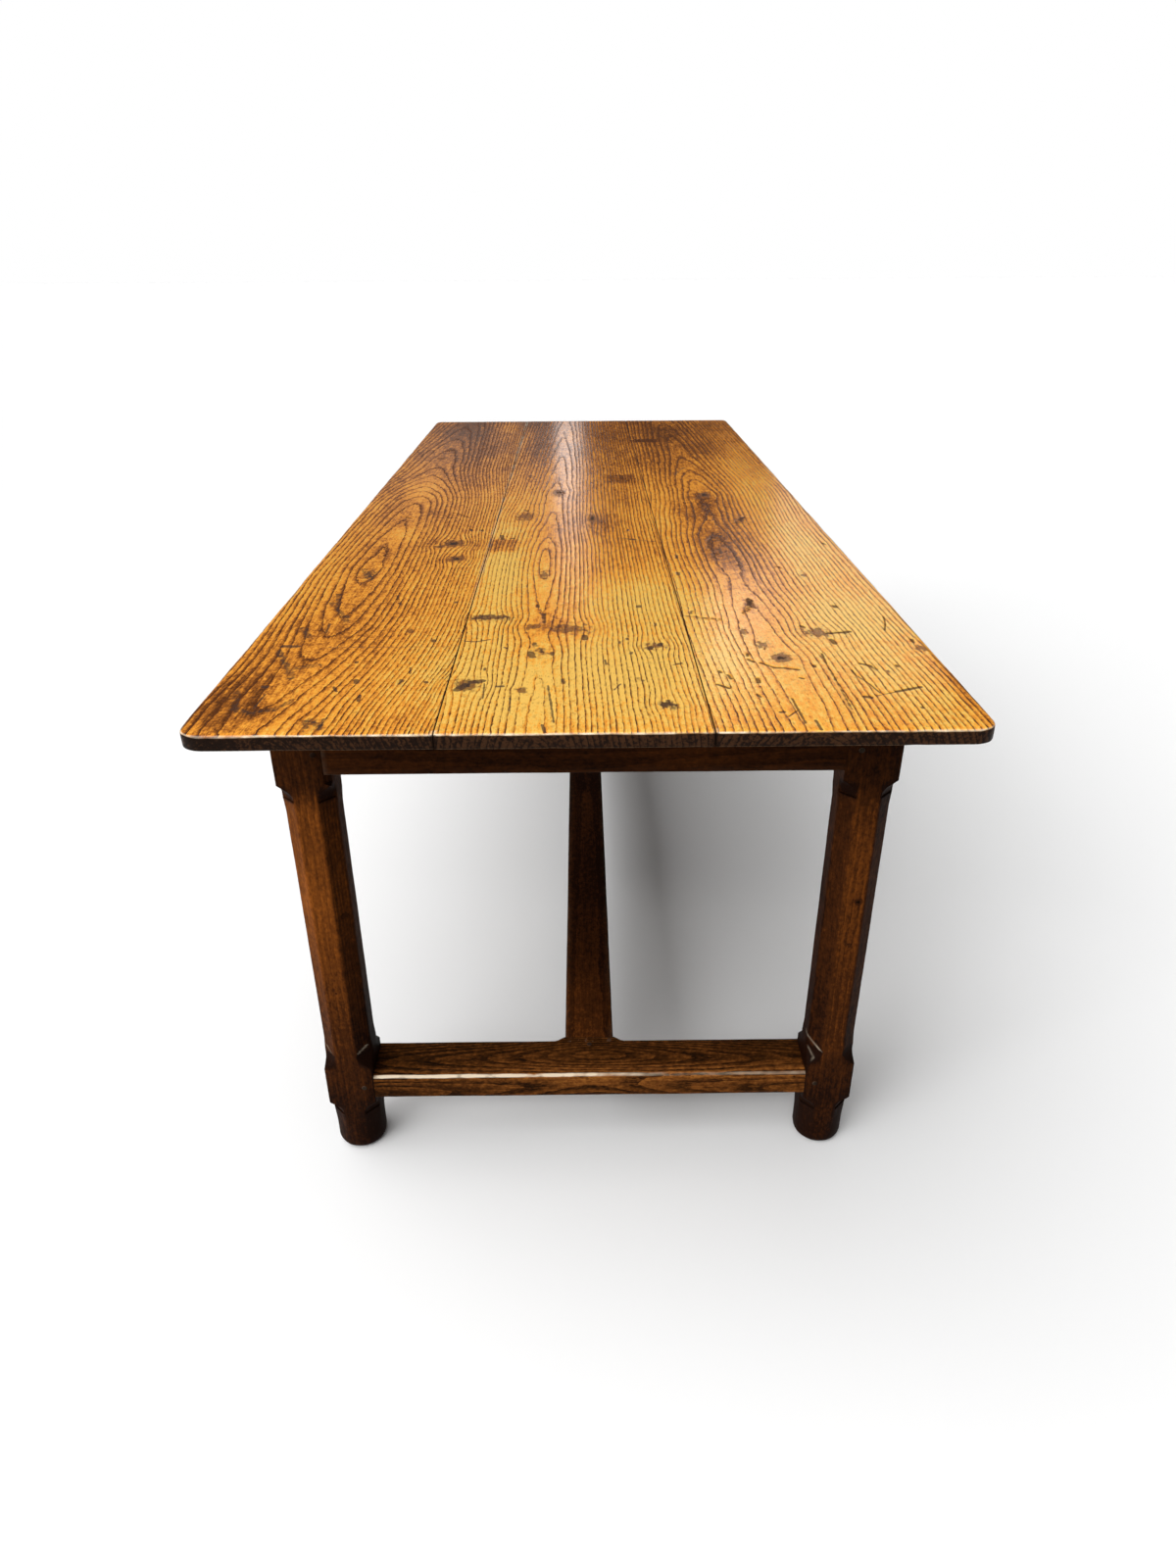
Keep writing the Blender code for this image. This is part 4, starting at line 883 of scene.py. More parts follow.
def knot_field(spots):
    field = np.zeros(len(spots))
    for x, y, wide, long, dark in KNOTS:
        away = ((spots[:, 0] - x) / wide) ** 2 + ((spots[:, 1] - y) / long) ** 2
        field = np.maximum(field, dark * np.exp(-KNOT_FADE * away))
    return field


def patch_field(spots):
    """Wax and wear: broad soft patches, stains with plain edges, and a darker far end."""
    field = FAR_DARKENING * np.clip((spots[:, 1] - DARKENING_START) / DARKENING_RUN, 0, 1)
    for table, power in ((PATCHES, SOFT_PATCH), (STAINS, PLAIN_STAIN)):
        for x, y, wide, long, dark in table:
            across, along = (spots[:, 0] - x * MM) / (wide * MM), (spots[:, 1] - y * MM) / (long * MM)
            field += dark * np.exp(-np.abs(across) ** power - np.abs(along) ** power)
    return field


def refine(bm, lines, reach):
    """Halves the faces that lie near one of the lines, but none at the border."""
    centres = np.array([face.calc_center_median().xy for face in bm.faces]) / MM
    near = np.zeros(len(centres), bool)
    for x0, y0, x1, y1, half in lines:
        near |= away_from(centres, x0, y0, x1, y1) < half + reach
    picked = [face for face, close in zip(bm.faces, near) if close]
    inner = [face for face in picked if not any(edge.is_boundary for edge in face.edges)]
    edges = list(dict.fromkeys(edge for face in inner for edge in face.edges))
    bmesh.ops.subdivide_edges(bm, edges=edges, cuts=1, use_grid_fill=True)


MARK_LINES = [mark[:5] for mark in MARKS]
KNOT_LINES = [(x / MM, (y - long) / MM, x / MM, (y + long) / MM, wide / MM) for x, y, wide, long, _ in KNOTS]
print(len(MARK_LINES) + len(KNOT_LINES), "lines to refine the boards along")


# %% [markdown]
# ## The boards of the top
# A board could be a beveled box, but old boards are nowhere quite flat. Each starts as a grid
# a few millimetres fine, so that the rings can be kept on its points and the surface can be
# worn. Its border is drawn down to give the thickness, its arrises are beveled, and the outer
# corners of the side boards are rounded.

# %% Cut the boards
GRID_STEP = 4 * MM
# The grid is halved this many millimetres round a line, and halved again nearer to a mark
FIRST_REFINING, SECOND_REFINING = 4, 2
CORNER_RADIUS = 28 * MM
ARRIS, JOINT_ARRIS = 2.2 * MM, 0.8 * MM
UNDERSIDE_STEP = 25 * MM
OUTER_SIDES = {"left": -1, "middle": 0, "right": 1}


def round_corners(bm, outer_side, half_width, half_length):
    """Slides the grid's outer corners from a square onto a quarter circle."""
    inner = Vector((half_width - CORNER_RADIUS, half_length - CORNER_RADIUS))
    for vert in bm.verts:
        across = (vert.co.x * outer_side - inner.x) / CORNER_RADIUS
        along = (abs(vert.co.y) - inner.y) / CORNER_RADIUS
        if outer_side and across > 0 and along > 0:
            share = max(across, along) / math.hypot(across, along)
            vert.co.x = outer_side * (inner.x + across * share * CORNER_RADIUS)
            vert.co.y = math.copysign(inner.y + along * share * CORNER_RADIUS, vert.co.y)


def draw_down(bm, thickness):
    """Gives the sheet its thickness: its border is drawn down and closed below."""
    drawn = bmesh.ops.extrude_edge_only(bm, edges=[edge for edge in bm.edges if edge.is_boundary])["geom"]
    lower = [part for part in drawn if isinstance(part, bmesh.types.BMVert)]
    bmesh.ops.translate(bm, vec=(0, 0, -thickness), verts=lower)
    bmesh.ops.edgeloop_fill(bm, edges=[edge for edge in bm.edges if edge.is_boundary])
    bmesh.ops.recalc_face_normals(bm, faces=bm.faces)


def sharp_edges(bm, joints, at_joint):
    """The level edges of the rim, either those at a joint or the others."""
    sharp = [edge for edge in bm.edges if is_level(edge) and edge.calc_face_angle(0) > 1.0]
    return [edge for edge in sharp if any(lies_on(edge, 0, face) for face in joints) == at_joint]


def sawn_board(low, high, outer_side):
    """A board with its arrises broken, fine above and coarse below. Says where its joints are."""
    width, length, thickness = high - low
    middle = (low + high) / 2
    bm = bmesh.new()
    columns, rows = round(width / GRID_STEP), round(length / GRID_STEP)
    bmesh.ops.create_grid(bm, x_segments=columns, y_segments=rows, size=0.5)
    bmesh.ops.scale(bm, vec=(width, length, 1), verts=bm.verts)
    round_corners(bm, outer_side, width / 2, length / 2)
    bmesh.ops.translate(bm, vec=(middle.x, middle.y, high.z), verts=bm.verts)
    refine(bm, MARK_LINES + KNOT_LINES, FIRST_REFINING)
    refine(bm, MARK_LINES, SECOND_REFINING)
    draw_down(bm, thickness)
    joints = [face for face, side in ((low.x, -1), (high.x, 1)) if side != outer_side]
    bevel(bm, sharp_edges(bm, joints, False), ARRIS, 3)
    bevel(bm, sharp_edges(bm, joints, True), JOINT_ARRIS, 1)
    underside = max(bm.faces, key=lambda face: face.calc_area())
    part = [underside, *underside.edges, *underside.verts]
    slice_across(bm, ALONG_Y, np.arange(low.y, high.y, UNDERSIDE_STEP)[1:], part)
    return bm, joints


print("Boards start from a grid of", GRID_STEP / MM, "mm")


# %% [markdown]
# ## Wearing the boards
# The top of a board dips where it has been scrubbed most, and its outer edges are bitten by
# knocks. Sculpting could do that by hand, but noise gives the same each time. The joints keep a
# dark line of old wax. A bare line runs round the upper arris, painted bright as a highlight,
# and towards the far end the arris of the left joint is painted pale as a glint.

# %% Wear the boards
EDGE_BAND = 9 * MM
SCRUBBED, RIPPLE, EDGE_DROP, BITE, CHIP, DENT = [depth * MM for depth in (0.25, 0.02, 1.2, 0.8, 2.4, 0.35)]
# A chip is out where the noise rises above this
CHIP_START = 0.25
JOINT_DIRT = 0.1 * MM
# How bare the rim is, with its painted highlight, across the top, and the joint's glint along it
RIM_BARE_AND_HIGHLIGHT = ((-0.42, -0.12, 0.30, 0.42), (0.55, 0.8, 0.8, 0.55))
JOINT_GLINT = ((-0.7, -0.5, 0.3, 0.6, 1.1), (0, 0.3, 0.3, 0.45, 0.62))
# How far from the joint its painted glint reaches
JOINT_GLINT_BAND = 3.6 * MM


def wear_board(bm, middle_height, scars):
    """Sinks the surface where it has been scrubbed, and bites into the outer edges."""
    for vert, scar in zip(bm.verts, scars):
        co = vert.co
        gaps = [cad_box[1][axis] - abs(co[axis]) for axis in (0, 1)]
        near_edge = max(0.0, 1 - min(gaps) / EDGE_BAND)
        if co.z > middle_height:
            co.z -= SCRUBBED * (1 + rough(co, 5, 3)) + RIPPLE * (1 + rough(co, 28, 7)) + DENT * scar
            co.z -= near_edge ** 2 * EDGE_DROP * (1 + 0.8 * rough(co, 9, 11))
        bite = BITE * (1 + rough(co, 14, 5)) + CHIP * max(0.0, rough(co, 40, 9) - CHIP_START)
        for axis in (0, 1):
            if gaps[axis] < EDGE_BAND:
                co[axis] -= math.copysign(bite * near_edge, co[axis])


def arris_wear_and_highlight(mesh, spots, at_rim):
    """The bare line round the top, painted as a thin, bright and broken highlight."""
    broken = np.array([0.95 + 1.3 * rough(spot, 24, 6) + rough(spot, 110, 8)
                       for spot in spots * at_rim[:, None]])
    return upper_arris(mesh) * at_rim * np.interp(spots[:, 0], *RIM_BARE_AND_HIGHLIGHT) * np.clip(broken, 0.05, 1.8)


def painted_joint_glint(spots, joints):
    """A painted glint: towards the far end the arris of the left joint is painted pale."""
    away = np.min([np.abs(spots[:, 0] - face) for face in joints], axis=0)
    near = np.clip(1.1 - away / JOINT_GLINT_BAND, 0, 1) * (spots[:, 0] < 0)
    return near * np.interp(spots[:, 1], *JOINT_GLINT)


print("Bites and chips go up to", round((2 * BITE + (1 - CHIP_START) * CHIP) / MM, 1), "mm deep")


# %% [markdown]
# ## Three boards
# Now each board is cut, worn and dressed. The rim is stained nearly black and the underside was
# left bare. Painting that by hand would take a mask for each board, so the faces take their
# material by the way they look. A board's rings are numbered from its own hundred, so that no
# two boards share their lucky years.

# %% Make the boards
YEARS_APART = 100


def face_materials(bm):
    """0 above, 1 round the rim and 2 below."""
    bm.normal_update()
    for face in bm.faces:
        face.material_index = 0 if face.normal.z > 0.5 else 1 if face.normal.z > -0.5 else 2


def worn_board(side):
    node, outer_side = "top_board_" + side, OUTER_SIDES[side]
    low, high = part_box(node)
    bm, joints = sawn_board(low, high, outer_side)
    spots = places_of(bm.verts)
    scars = mark_field(spots[:, :2])
    dirt = np.any([np.abs(spots[:, 0] - face) < JOINT_DIRT for face in joints], axis=0)
    at_rim = np.any([cad_box[1][axis] - np.abs(spots[:, axis]) < EDGE_BAND for axis in (0, 1)], axis=0)
    wear_board(bm, (low.z + high.z) / 2, scars)
    face_materials(bm)
    made = finish_piece(bm, "worn_" + node, (waxed_elm, elm_edges, dry_elm), node)
    across, along, up = spots.T
    sawing = up - TOP, HEARTS[side], KNOTS, RING_WIDTHS[side], NARROWING[side]
    # The rim's bare line and the left joint's line are painted pale as highlights
    worn = np.maximum(arris_wear_and_highlight(made.data, spots, at_rim), painted_joint_glint(spots, joints))
    keep(made.data, ring=ring_numbers(across, along, *sawing) + YEARS_APART * (outer_side + 1),
         gap=ring_gaps(across, along, *sawing), knot=knot_field(spots), patch=patch_field(spots),
         mark=scars, dirt=dirt, worn=worn)
    return made


for side in HEARTS:
    made = worn_board(side)
    print(made.name, len(made.data.vertices), "points")


# %% [markdown]
# ## Straight grain
# The frame is straight-grained oak. Its heart line is given as places along the piece, and its
# rings are plain circles round that line, because it has no knot large enough to turn them. Wax
# and dirt lie thicker where nobody rubs, and shade is painted in with them, so a piece also says
# how stained and shaded it is, either as one number or as a function of its points. Its wear can
# also carry painted highlights.

# %% Grain, stain and painted shade for the frame
def dress_grain(made, along_axis, heart, ring_width, first_year, stain=0.0, rubbed=0.1, wear_and_highlight=None):
    """Keeps the rings, stain and painted shade, and wear and painted highlights of a straight piece."""
    mesh = made.data
    spots = places_of(mesh.vertices)
    one, other = [spots[:, axis] for axis in range(3) if axis != along_axis]
    along = spots[:, along_axis]
    heart_one = curve_through([(place, first) for place, first, _ in heart], along)
    heart_other = curve_through([(place, second) for place, _, second in heart], along)
    if callable(stain):
        stain = stain(spots, np.array([vert.normal for vert in mesh.vertices]))
    worn = rubbed * crease_of(mesh)
    if wear_and_highlight:
        worn = np.maximum(worn, wear_and_highlight(mesh, spots))
    keep(mesh, ring=np.hypot(one - heart_one, other - heart_other) / ring_width + first_year,
         gap=ring_width / MM, patch=stain, worn=worn)


def straight(along_axis, low, high, one, other):
    """A heart line beside a piece that leans a few millimetres on its way."""
    start, end = low[along_axis], high[along_axis]
    return ((start, one, other), ((start + end) / 2, one + 4 * MM, other - 3 * MM),
            (end, one - 3 * MM, other))


print("Grain runs along axis", ALONG_X, ALONG_Y, "or", ALONG_Z)


# %% [markdown]
# ## The legs
# Each leg is a square post with its corners planed off between the joints. Where a rail or a
# stretcher comes in, the post stays square, and each chamfer ends there in a scooped stop
# with a sharp lip. The scoops could be cut with a boolean, but that leaves ragged faces. So the
# post is a beveled cube, cut across every few millimetres. Moving its points fills the chamfers
# out again at the blocks, and wears the faces unevenly. The feet have been dragged over stone
# floors until they are nearly round.

# %% Stops of the chamfers
LEG_SIZE = 70 * MM
CHAMFER = 19 * MM
LEG_ARRIS = 2.4 * MM
FOOT_END, LOW_BLOCK, HIGH_BLOCK, SHAFT_START, SHAFT_END, TOP_BLOCK = [
    height * MM for height in (71, 96, 161, 186, 601, 626)]
# How much of the chamfer is left, from the shaft, where each stop starts, to the block
STOP = ((0.0, 1.0), (0.06, 1.14), (0.35, 1.02), (0.62, 0.76), (0.85, 0.36), (1.0, 0.10))


def chamfer_stops():
    """Height and share of the chamfer, all the way up one corner of a leg."""
    table = [(0.0, 1.0)]
    for shaft, solid in ((FOOT_END, LOW_BLOCK), (SHAFT_START, HIGH_BLOCK), (SHAFT_END, TOP_BLOCK)):
        table += [(shaft + (solid - shaft) * along, share) for along, share in STOP]
    return sorted(table) + [(TOP, STOP[-1][1])]


CHAMFER_STOPS = chamfer_stops()
print("The chamfers stop at", [f"{height / MM:.0f} mm" for height in (FOOT_END, SHAFT_START, SHAFT_END)])


# %% [markdown]
# ## Shaping a post
# Every point of the post knows how far it lies in from the two nearest faces. Scaling those two
# insets opens or closes the chamfer, and adding to them planes a little off a face. Working with
# insets keeps the post square, which moving its points along their normals would not.

# %% Shape the posts
SHAFT_SINK = 1.3 * MM
SINK_HEIGHTS = SHAFT_START, SHAFT_START + 0.02, SHAFT_END - 0.02, SHAFT_END
# How unevenly the plane left the faces, over a hand's breadth and over a finger's
PLANE_WAVES = ((0.30 * MM, 16), (0.10 * MM, 60))
# The foot: how high its lower edge is rounded, its radius, over what height it turns round, how round
FOOT_ROUNDING, FOOT_RADIUS, FOOT_BLEND, ROUNDNESS_OF_FOOT = 13 * MM, 35.6 * MM, 0.03, 0.85
# The worn corner has lost about half of a chamfer, unevenly
LOST_CORNER, LOST_UNEVENLY = 0.52, 0.12


def insets_of(offset, height, block_share, thin):
    """How far a point lies in from the post's two faces, once its corner is filled out."""
    insets = [LEG_SIZE / 2 - abs(value) for value in offset]
    share = np.interp(height, *zip(*CHAMFER_STOPS))
    if height > TOP_BLOCK:
        share = max(share, block_share)
    if max(insets) < CHAMFER + LEG_ARRIS:
        insets = [inset * share if inset < CHAMFER + HAIR else inset for inset in insets]
    return [inset + thin * (1 - inset / (LEG_SIZE / 2)) for inset in insets]


def shape_leg(bm, middle, number, worn_corner):
    """Fills the chamfers at the blocks, thins the shaft, rounds the foot and wears the faces."""
    for vert in bm.verts:
        offset = Vector((vert.co.x - middle.x, vert.co.y - middle.y))
        height = vert.co.z
        uneven = sum(size * (1 + rough(vert.co, fineness, number)) for size, fineness in PLANE_WAVES)
        sink = SHAFT_SINK * np.interp(height, SINK_HEIGHTS, (0, 1, 1, 0))
        at_worn = worn_corner and offset.x * worn_corner[0] > 0 and offset.y * worn_corner[1] > 0
        block_share = LOST_CORNER + LOST_UNEVENLY * rough(vert.co, 22, number) if at_worn else 0.0
        insets = insets_of(offset, height, block_share, sink + uneven)
        shaped = Vector([math.copysign(LEG_SIZE / 2 - inset, value) for inset, value in zip(insets, offset)])
        roundness = ROUNDNESS_OF_FOOT * np.interp(height, (FOOT_END - FOOT_BLEND, FOOT_END), (1, 0))
        if shaped.length > 0:
            shaped *= 1 + roundness * (FOOT_RADIUS / max(shaped.length, LEG_SIZE / 2.4) - 1)
        foot = max(0.0, 1 - height / FOOT_ROUNDING)
        shaped *= 1 - FOOT_ROUNDING * (1 - math.sqrt(1 - min(1.0, foot) ** 2)) / (LEG_SIZE / 2)
        vert.co.x, vert.co.y = middle.x + shaped.x, middle.y + shaped.y


print("The shaft is planed", round(SHAFT_SINK / MM, 1), "mm below the blocks on each side")


# %% [markdown]
# ## Knots and lip highlights of the front legs
# The front legs show a few small knots, and the sharp lips of their lower stops catch the light,
# so they are painted with bright highlights. A lip could be a bevel of its own, but it is thinner
# than a line of the picture, so both are drawn like the marks of the top: as places on the front
# face, in millimetres across the table and up.

# %% Where the knots and lips are
LEG_KNOTS = (("right", 356, 445, 5.0, 1.0), ("right", 331, 414, 3.0, 0.4), ("right", 353, 375, 4.0, 0.4),
             ("left", -325, 425, 4.0, 0.8), ("left", -350, 300, 3.0, 0.35), ("right", 352, 560, 3.0, 0.35))
# The lips are painted bright as highlights: leg, the ends of a line across and up, how bright
LEG_LIP_HIGHLIGHTS = (("right", 317, 200, 334, 185, 0.42), ("right", 319, 180, 325, 171, 0.3),
            ("left", -333, 189, -322, 195, 0.5), ("left", -379, 195, -373, 188, 0.35))
# Only the legs at the near end have them
NEAR_END, OUT_OF_REACH = -0.9, 1000.0


def close_to(spots, x0, z0, x1, z1):
    """How far points of a front face lie from the line between two places on it, in mm."""
    away = away_from(spots[:, [0, 2]] / MM, x0, z0, x1, z1)
    return np.where(spots[:, 1] < NEAR_END, away, OUT_OF_REACH)


def leg_knots(spots, side):
    return np.max([dark * np.exp(-(close_to(spots, x, z, x, z) / wide) ** 2)
                   for leg, x, z, wide, dark in LEG_KNOTS if leg == side], axis=0)


def leg_lip_highlights(side):
    # Painted highlights along the lips of the stops
    def wear(mesh, spots):
        return np.max([bright * np.clip(1.5 - close_to(spots, *ends) / 1.2, 0, 1)
                       for leg, *ends, bright in LEG_LIP_HIGHLIGHTS if leg == side], axis=0)
    return wear


print(len(LEG_KNOTS), "knots and", len(LEG_LIP_HIGHLIGHTS), "lips on the front legs")


# %% [markdown]
# ## Stain and painted shade on the legs
# The legs are painted darker where shade falls: on the top blocks under the overhang of the top,
# in the scoops of the stops and on the sides that face away from the light. They are also darker
# on the low block, downwards and at the foot, and the right legs are darker all over. Weaker lamps
# would darken everything alike, so this stain and painted shade is a number on the points, summed
# from where each lies and how it faces.

# %% Stain and shade the legs
# How stained and shaded a leg is: all over, painted shadow just under the top block, on the
# low block, downwards, painted shade outside
LEG_STAINS_AND_SHADE = {"left": (0.03, 0.0, 0.04, 2.25, 0.0), "right": (0.27, 0.35, 0.22, 1.0, 0.702)}
# Heights of the scoops in millimetres: where each begins, is full, and ends
SCOOPS = ((158, 168, 182, 190), (597, 605, 619, 629))
# How much each kind of place adds: top block (painted shade), lower leg, foot, inner side and
# scoops (painted shade)
SHADE_ON_BLOCK, LOWER, AT_FOOT, SHADE_INSIDE, SHADE_IN_SCOOP = 0.62, 0.32, 0.6, 0.60, 0.7


def leg_stain_and_shade(middle, side):
    """Stain with painted shade on the blocks, in the scoops and on the sides away from the light."""
    inwards = -math.copysign(1, middle.x)
    whole, under_block, on_low_block, downwards, shade_outside = LEG_STAINS_AND_SHADE[side]

    def stain(spots, normals):
        height = spots[:, 2]
        block_share = np.interp(height, (0.50, 0.59, 0.625), (0, under_block, 1))
        low_block = np.interp(height, (FOOT_END, LOW_BLOCK, HIGH_BLOCK, SHAFT_START), (0.2, 1, 1, 0))
        foot = np.interp(height, (0.08, 0.13), (1, 0))
        lower = downwards * np.clip(1 - height / 0.45, 0, 1) + AT_FOOT * foot
        inner, outer = [np.clip(normals[:, 0] * way, 0, 1) for way in (inwards, -inwards)]
        corner = np.clip((np.abs(spots[:, :2] - middle.xy).min(axis=1) / MM - 14) / 6, 0, 1)
        scoop = corner * sum(np.interp(height / MM, heights, (0, 1, 1, 0)) for heights in SCOOPS)
        return (whole + SHADE_ON_BLOCK * block_share + on_low_block * low_block + LOWER * lower
                + SHADE_INSIDE * inner * (1 - block_share) + shade_outside * outer + SHADE_IN_SCOOP * scoop)
    return stain


print("Stain over a whole leg:", {side: stains[0] for side, stains in LEG_STAINS_AND_SHADE.items()})


# %% [markdown]
# ## Four posts
# A post is cut across every 8 mm, and every 2 mm near its knots and lips. Cutting it finely all
# over would make four heavy legs for a few small knots. The left front leg has lost the inner
# corner of its top block, where chairs are pushed in.

# %% Make the legs
# Heights and steps of the cuts in millimetres, and how near to a detail they are fine
LOWEST_CUT, HIGHEST_CUT, COARSE_CUT, FINE_CUT, DETAIL_REACH = 21, 748, 8, 2, 10
FOOT_CUTS = (0.04, 0.12, 0.25, 0.42, 0.65, 1.0)
# Cuts nearer to each other than this would leave slivers
NEAREST_CUTS = 0.9 * MM
LEG_RINGS = 4.2 * MM


def cut_places(side, front, middle):
    """Where a post is cut: every few millimetres, and finer at its knots and lips."""
    stops = [height for height, _ in CHAMFER_STOPS[1:-1]]
    details = [z for leg, _, z, *_ in (*LEG_KNOTS, *LEG_LIP_HIGHLIGHTS) if front and leg == side]
    even = [h * MM for h in range(LOWEST_CUT, HIGHEST_CUT, FINE_CUT)
            if (h - LOWEST_CUT) % COARSE_CUT == 0 or any(abs(h - z) < DETAIL_REACH for z in details)]
    heights = [*stops, *(FOOT_ROUNDING * share for share in FOOT_CUTS),
               *(height for height in even if min(abs(height - stop) for stop in stops) > NEAREST_CUTS)]
    across = range(-32, 33, FINE_CUT) if front else (-8, 0, 8)
    return sorted(heights), [middle.x + offset * MM for offset in across]


def worn_leg(end, side, number, worn_corner=None):
    node = f"leg_{end}_{side}"
    low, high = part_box(node)
    middle = (low + high) / 2
    bm = block((LEG_SIZE, LEG_SIZE, high.z - low.z), middle)
    for width, segments in ((CHAMFER, 1), (LEG_ARRIS, 2)):
        bevel(bm, [edge for edge in bm.edges if not is_level(edge)], width, segments)
    heights, across = cut_places(side, end == "front", middle)
    slice_across(bm, ALONG_Z, heights)
    slice_across(bm, ALONG_X, across)
    slice_across(bm, ALONG_Y, [middle.y + offset * MM for offset in (-8, 0, 8)])
    shape_leg(bm, middle, 7.0 * number, worn_corner)
    made = finish_piece(bm, "worn_" + node, [stained_oak[ALONG_Z]], node)
    heart = straight(ALONG_Z, low, high, middle.x + 0.05, middle.y + 0.07)
    dress_grain(made, ALONG_Z, heart, LEG_RINGS, 30 * number, leg_stain_and_shade(middle, side),
                rubbed=0.0, wear_and_highlight=leg_lip_highlights(side))
    keep(made.data, knot=leg_knots(places_of(made.data.vertices), side))
    return made


for number, (end, side) in enumerate((end, side) for end in ("front", "back") for side in ("left", "right")):
    made = worn_leg(end, side, number, (1, -1) if (end, side) == ("front", "left") else None)
    print(made.name, len(made.data.vertices), "points")


# %% [markdown]
# ## Rails
# A rail is a plain planed bar, so each is a block with its long edges beveled, cut across
# every centimetre and worn. It could be cut off flush at the legs, but then the worn legs would
# leave a gap, so it reaches a little way into them, as its tenon does.

# %% Cut the bars
BAR_STEP = 10 * MM
BURY = 12 * MM
# How unevenly the plane left a bar: how deep each wave is, how fine, and its seed
BAR_WAVES = ((0.30 * MM, 11, 3), (0.10 * MM, 50, 5))
# A long edge lies where the low (0) or high (1) face across meets the low or high one above
ALL_FOUR = [(0, 0), (0, 1), (1, 0), (1, 1)]


def worn_bar(node, along_axis, reach, arrises, shape=None, step=BAR_STEP, wood=None):
    """A worn bar in the place of a node. Arrises gives a width for each of its four long edges."""
    low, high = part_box(node)
    low[along_axis], high[along_axis] = -reach - BURY, reach + BURY
    middle, size = (low + high) / 2, high - low
    across = [axis for axis in range(3) if axis != along_axis]
    bm = block(size, middle)
    for sides, width in arrises.items():
        bevel(bm, [edge for edge in bm.edges if all(lies_on(edge, axis, (low, high)[which][axis])
                                                    for axis, which in zip(across, sides))], width, 3)
    for axis in range(3):
        parts = max(3, round(size[axis] / step))
        slice_across(bm, axis, np.linspace(low[axis], high[axis], parts + 1)[1:-1])
    for vert in bm.verts:
        if shape:
            shape(vert.co, low, high)
        inset = sum(depth * (1 + rough(vert.co, fineness, seed)) for depth, fineness, seed in BAR_WAVES)
        for axis in across:
            vert.co[axis] -= inset * (vert.co[axis] - middle[axis]) / (size[axis] / 2)
    return finish_piece(bm, "worn_" + node, [wood or stained_oak[along_axis]], node), low, high


print("A bar is cut every", BAR_STEP / MM, "mm and reaches", BURY / MM, "mm into the legs")


# %% [markdown]
# ## Four rails
# The end rails are painted darker than the side rails, with the shade that the overhanging top
# casts on them. Dead straight lines would be simpler to draw, but no tree grows them. So the heart
# of each rail lies beside it, inside the frame, and leans a little on its way.

# %% Make the rails
RAIL_ARRIS, RAIL_RINGS = 1.5 * MM, 4.5 * MM
# How far beside a rail its heart lies, and how high
BESIDE_RAIL, HEART_HEIGHT = 0.09, 0.63
inner_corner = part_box("leg_front_right")
# Which way each rail runs, the axis across it and the way to its heart, its first year and its
# stain with painted shade
RAILS = {"end_rail_front": (ALONG_X, ALONG_Y, 1, 200, 0.66),
         "end_rail_back": (ALONG_X, ALONG_Y, -1, 220, 0.66),
         "side_rail_left": (ALONG_Y, ALONG_X, 1, 260, 0.40),
         "side_rail_right": (ALONG_Y, ALONG_X, -1, 280, 0.40)}
REACHES = {ALONG_X: inner_corner[0].x, ALONG_Y: -inner_corner[1].y}
for node, (along, across, way, first_year, stain) in RAILS.items():
    made, low, high = worn_bar(node, along, REACHES[along], dict.fromkeys(ALL_FOUR, RAIL_ARRIS))
    beside = high[across] + BESIDE_RAIL if way > 0 else low[across] - BESIDE_RAIL
    # The end rails' stain includes painted shade from the overhanging top
    dress_grain(made, along, straight(along, low, high, beside, HEART_HEIGHT), RAIL_RINGS, first_year, stain)
print(len(RAILS), "rails between the legs")


# %% [markdown]
# ## Treading the stretchers
# The end stretchers carry a century of shoe soles on their outer upper arris, which is rubbed
# round, wavy and pale, with a painted highlight along it. The inner face is painted in shade and
# the outer one in light. They swell a little where the long one comes in. A wider bevel would
# round them evenly, but feet don't, so noise decides how deep the tread is.

# %% Shape, stain and shade the tread
# The swelling at the joint: how high it is, half the width of its flat, and how far it runs out
SWELL_HEIGHT, SWELL_FLAT, SWELL_RUN = 9 * MM, 39 * MM, 14 * MM
TREAD_REACH = 14 * MM
# How high the arris lies, and how far from it soles have paled the stain
TREAD_HEIGHT, TREAD_FADE = 0.146, 0.03
# How bare the tread is, with its painted highlight, across the table, most of all left of middle
TREAD_BARE_AND_HIGHLIGHT = ((-0.32, -0.28, -0.05, 0.03, 0.10, 0.32), (1.6, 3.4, 2.6, 1.0, 0.34, 0.36))


def trodden(co, low, high):
    """Swells the inner face round the joint and treads down the outer upper arris."""
    outwards = 1 if low.y > 0 else -1
    outer = high.y if outwards > 0 else low.y
    run = min(1.0, max(0.0, (abs(co.x) - SWELL_FLAT) / SWELL_RUN))
    share = abs(co.y - outer) / (high.y - low.y)
    co.y += outwards * share * SWELL_HEIGHT * math.sin(math.pi / 2 * run)
    near_arris = max(0.0, 1 - math.hypot(co.y - outer, co.z - high.z) / TREAD_REACH)
    tread = max(0.0, (1.6 + 1.5 * rough(co, 9, 2) + 0.9 * rough(co, 33, 5)) * MM * near_arris)
    co.z -= tread
    co.y -= outwards * tread * 0.5


def tread_stain_and_shade(outwards, outer):
    """Paler where feet rest, with painted shade on the inner face and painted light on the outer one."""
    def stain(spots, normals):
        near = np.clip(1 - np.hypot(spots[:, 1] - outer, spots[:, 2] - TREAD_HEIGHT) / TREAD_FADE, 0, 1)
        facing = normals[:, 1] * outwards
        return 0.36 - 0.45 * near + 0.25 * np.clip(-facing, 0, 1) - 0.10 * np.clip(facing, 0, 1)
    return stain


